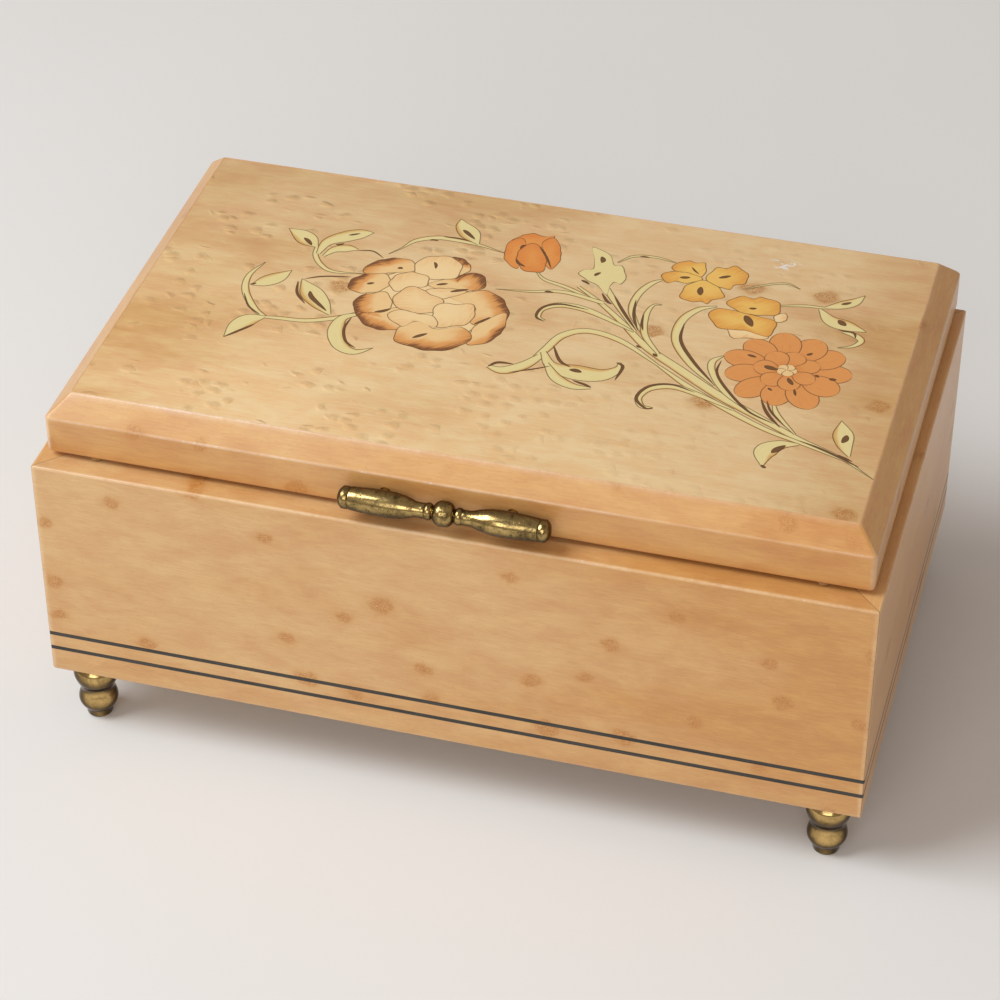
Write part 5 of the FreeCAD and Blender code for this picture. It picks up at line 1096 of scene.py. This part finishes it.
def roll(bundle, middle_x):
    """Ring roll: a rounded section, cosine and sine to the power 0.7, carried along the box and drawn in at its
    ends by the fourth root of one minus the eighth power of the share of its half length."""
    share = np.sin(np.linspace(-math.pi / 2, math.pi / 2, 41))
    draw = (1 - share ** 8) ** 0.25
    angle = np.linspace(0, 2 * math.pi, 40, endpoint=False)
    across = np.sign(np.cos(angle)) * np.abs(np.cos(angle)) ** 0.7 * ROLL_WIDTH / 2
    up = np.sign(np.sin(angle)) * np.abs(np.sin(angle)) ** 0.7 * np.ptp(ROLL_Z) / 2
    x = middle_x + draw[:, None] * across
    z = np.mean(ROLL_Z) + (0.55 + 0.45 * draw)[:, None] * up * draw[:, None] ** 0.3
    y = np.broadcast_to((np.mean(ROLL_Y) + share * np.ptp(ROLL_Y) / 2)[:, None], x.shape)
    faces = tube_faces(len(share), len(angle))
    bundle.add(np.stack([x, y, z], 2), faces)


def line_inside():
    """Velvet on the walls, floor and lid, covered partitions, ring rolls and felt bumpers."""
    walls = Bundle()
    height = LINING_HEIGHT
    section = listed([(0, 0)], 0.02, 0) + listed(arc((0.5, height - 0.5), 0.5, 180, 0, 7), 0.02, 0)
    section += listed([(1.08, height * 0.5), (LINING, 0.6), (LINING - 0.2, 0)], 0.02, 0)
    inner = np.array(CASE_HALF) - WALL
    for quarter in range(len(SIDES)):
        frame_side(walls, inner, CASE_MIDDLE, FLOOR_Z, quarter, section)
    walls.make("velvet_walls", "case", "velvet", "velvet", ["wall_lining"])
    floor = Bundle()
    for bay in FLOOR_BAYS:
        half, middle = half_and_middle(*bay)
        layered(floor, half, middle, pad_section(FLOOR_Z, FLOOR_Z + 0.9, 0.4, min(half) - 1.2), 0.8)
    floor.make("velvet_floor", "case", "velvet", "velvet", ["floor_lining"])
    pad = Bundle()
    half = np.array(LID_HALF) - LID_MARGIN - 0.05
    layered(pad, half, LID_MIDDLE, pad_section(LID_Z + LID_RECESS, LID_Z + 1.2, -0.75, min(half) - 1.2), 1.0)
    pad.make("velvet_lid_pad", "lid", "velvet", "velvet", ["lid_lining"])
    for label, (across, along) in BOARDS.items():
        board = Bundle()
        half, middle = half_and_middle(across, along)
        layered(board, half, middle, board_section(FLOOR_Z, BOARD_TOP, 1.2), 0.1)
        board.make("covered_" + label + "_board", "case", "covered_board", "covered_board", [label + "_partition"])
    rolls = Bundle()
    for number in range(ROLL_COUNT):
        roll(rolls, ROLL_X + ROLL_PITCH * number)
    rolls.make("velvet_ring_rolls", "case", "velvet", "velvet", ["ring_rolls"], sharp=60.0)
    felt = Bundle()
    for x, y in BUMPERS:
        outline = np.concatenate([[(0, 0), (1.55, 0)], arc((1.2, -0.5), 0.4, 0, -90, 5), [(0, -0.9)]])
        turned(felt, outline, (x, y, LID_Z), steps=28)
    felt.make("felt_bumpers", "lid", "felt", "felt", ["lid_bumpers"])


# Nodes that keep their own shape

NODE_FINISHES = {
    "plain_board": ["bottom_board"],
    "antique_brass": ["pull_posts", "winding_key"],
    "covered_board": ["ring_block", "pane_cleats"],
    "hinge_brass": ["hinge_case_leaf_left", "hinge_case_leaf_right", "hinge_lid_leaf_left", "hinge_lid_leaf_right",
                    "hinge_pins", "hinge_case_screws", "hinge_lid_screws"],
    "movement_brass": ["spring_barrel", "governor_inner_plate", "governor_outer_plate", "cylinder_bearing",
                       "crown_wheel", "music_cylinder", "cylinder_wheel", "second_wheel", "rod_guide"],
    "bed_metal": ["bedplate", "comb_block"],
    "steel": ["bedplate_screws", "plate_screws", "comb", "comb_screws", "mainspring", "winding_arbor",
              "cylinder_arbor", "cylinder_pins", "second_arbor", "fan_arbor", "stop_lever", "stop_rod",
              "lever_spring"],
    "fan_metal": ["fan_blades"],
    "clear_glass": ["glass_pane"],
}


def finish_nodes():
    """Gives each node that shows its finish."""
    for finish, names in NODE_FINISHES.items():
        for name in names:
            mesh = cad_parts[name].data
            mesh.materials.clear()
            mesh.materials.append(FINISHES[finish])


# Floor, light and camera

def lay_floor():
    """Pale warm floor with a faint unevenness."""
    finish = Finish("floor")
    shade = finish.noise(finish.place, 0.004, 3.0, 0.5)
    colour = finish.mix(finish.span(shade, 0.3, 0.7), (0.785, 0.765, 0.74), (0.805, 0.785, 0.76))
    finish.set(Base_Color=colour, Roughness=0.7, Specular_IOR_Level=0.2)
    reach = 4.0
    mesh = bpy.data.meshes.new("floor")
    corners = [(-reach, -reach, 0), (reach, -reach, 0), (reach, reach, 0), (-reach, reach, 0)]
    mesh.from_pydata(corners, [], [(0, 1, 2, 3)])
    mesh.materials.append(finish.material)
    put("floor", mesh)


def hang_lamp(name, place, aim, size, power, colour):
    """Soft square lamp that looks at a point. Metres and watts."""
    lamp = bpy.data.lights.new(name, "AREA")
    lamp.shape = "RECTANGLE"
    lamp.size, lamp.size_y = size
    lamp.energy = power
    lamp.color = colour
    put(name, lamp, place, aim)


def light_scene():
    """Large soft lamp from the left and above, a weaker one in front, and a dim even surround."""
    hang_lamp("key_lamp", (-1.05, -0.5, 1.45), (0, 0, 0.04), (1.0, 1.0), 26.5, (0.87, 0.935, 0.98))
    hang_lamp("front_lamp", (0.1, -1.5, 0.9), (0, 0, 0.04), (1.2, 0.8), 8.1, (0.95, 0.98, 1.0))
    world = bpy.data.worlds.new("surround")
    world.use_nodes = True
    world.node_tree.nodes["Background"].inputs[0].default_value = (1.0, 0.87, 0.78, 1)
    world.node_tree.nodes["Background"].inputs[1].default_value = 0.345
    bpy.context.scene.world = world


def set_camera():
    """The photograph's point of view."""
    lens = bpy.data.cameras.new("camera")
    lens.lens = 113.75
    lens.sensor_width = 36.0
    eye, target = (0.161289, -0.597532, 0.523425), (-0.003906, 0.0, 0.042055)
    bpy.context.scene.camera = put("camera", lens, eye, target)
    bpy.context.scene.view_settings.view_transform = "Standard"


dress_case()
dress_lid()
inlay_lid()
dress_brass()
line_inside()
finish_nodes()
lay_floor()
light_scene()
set_camera()
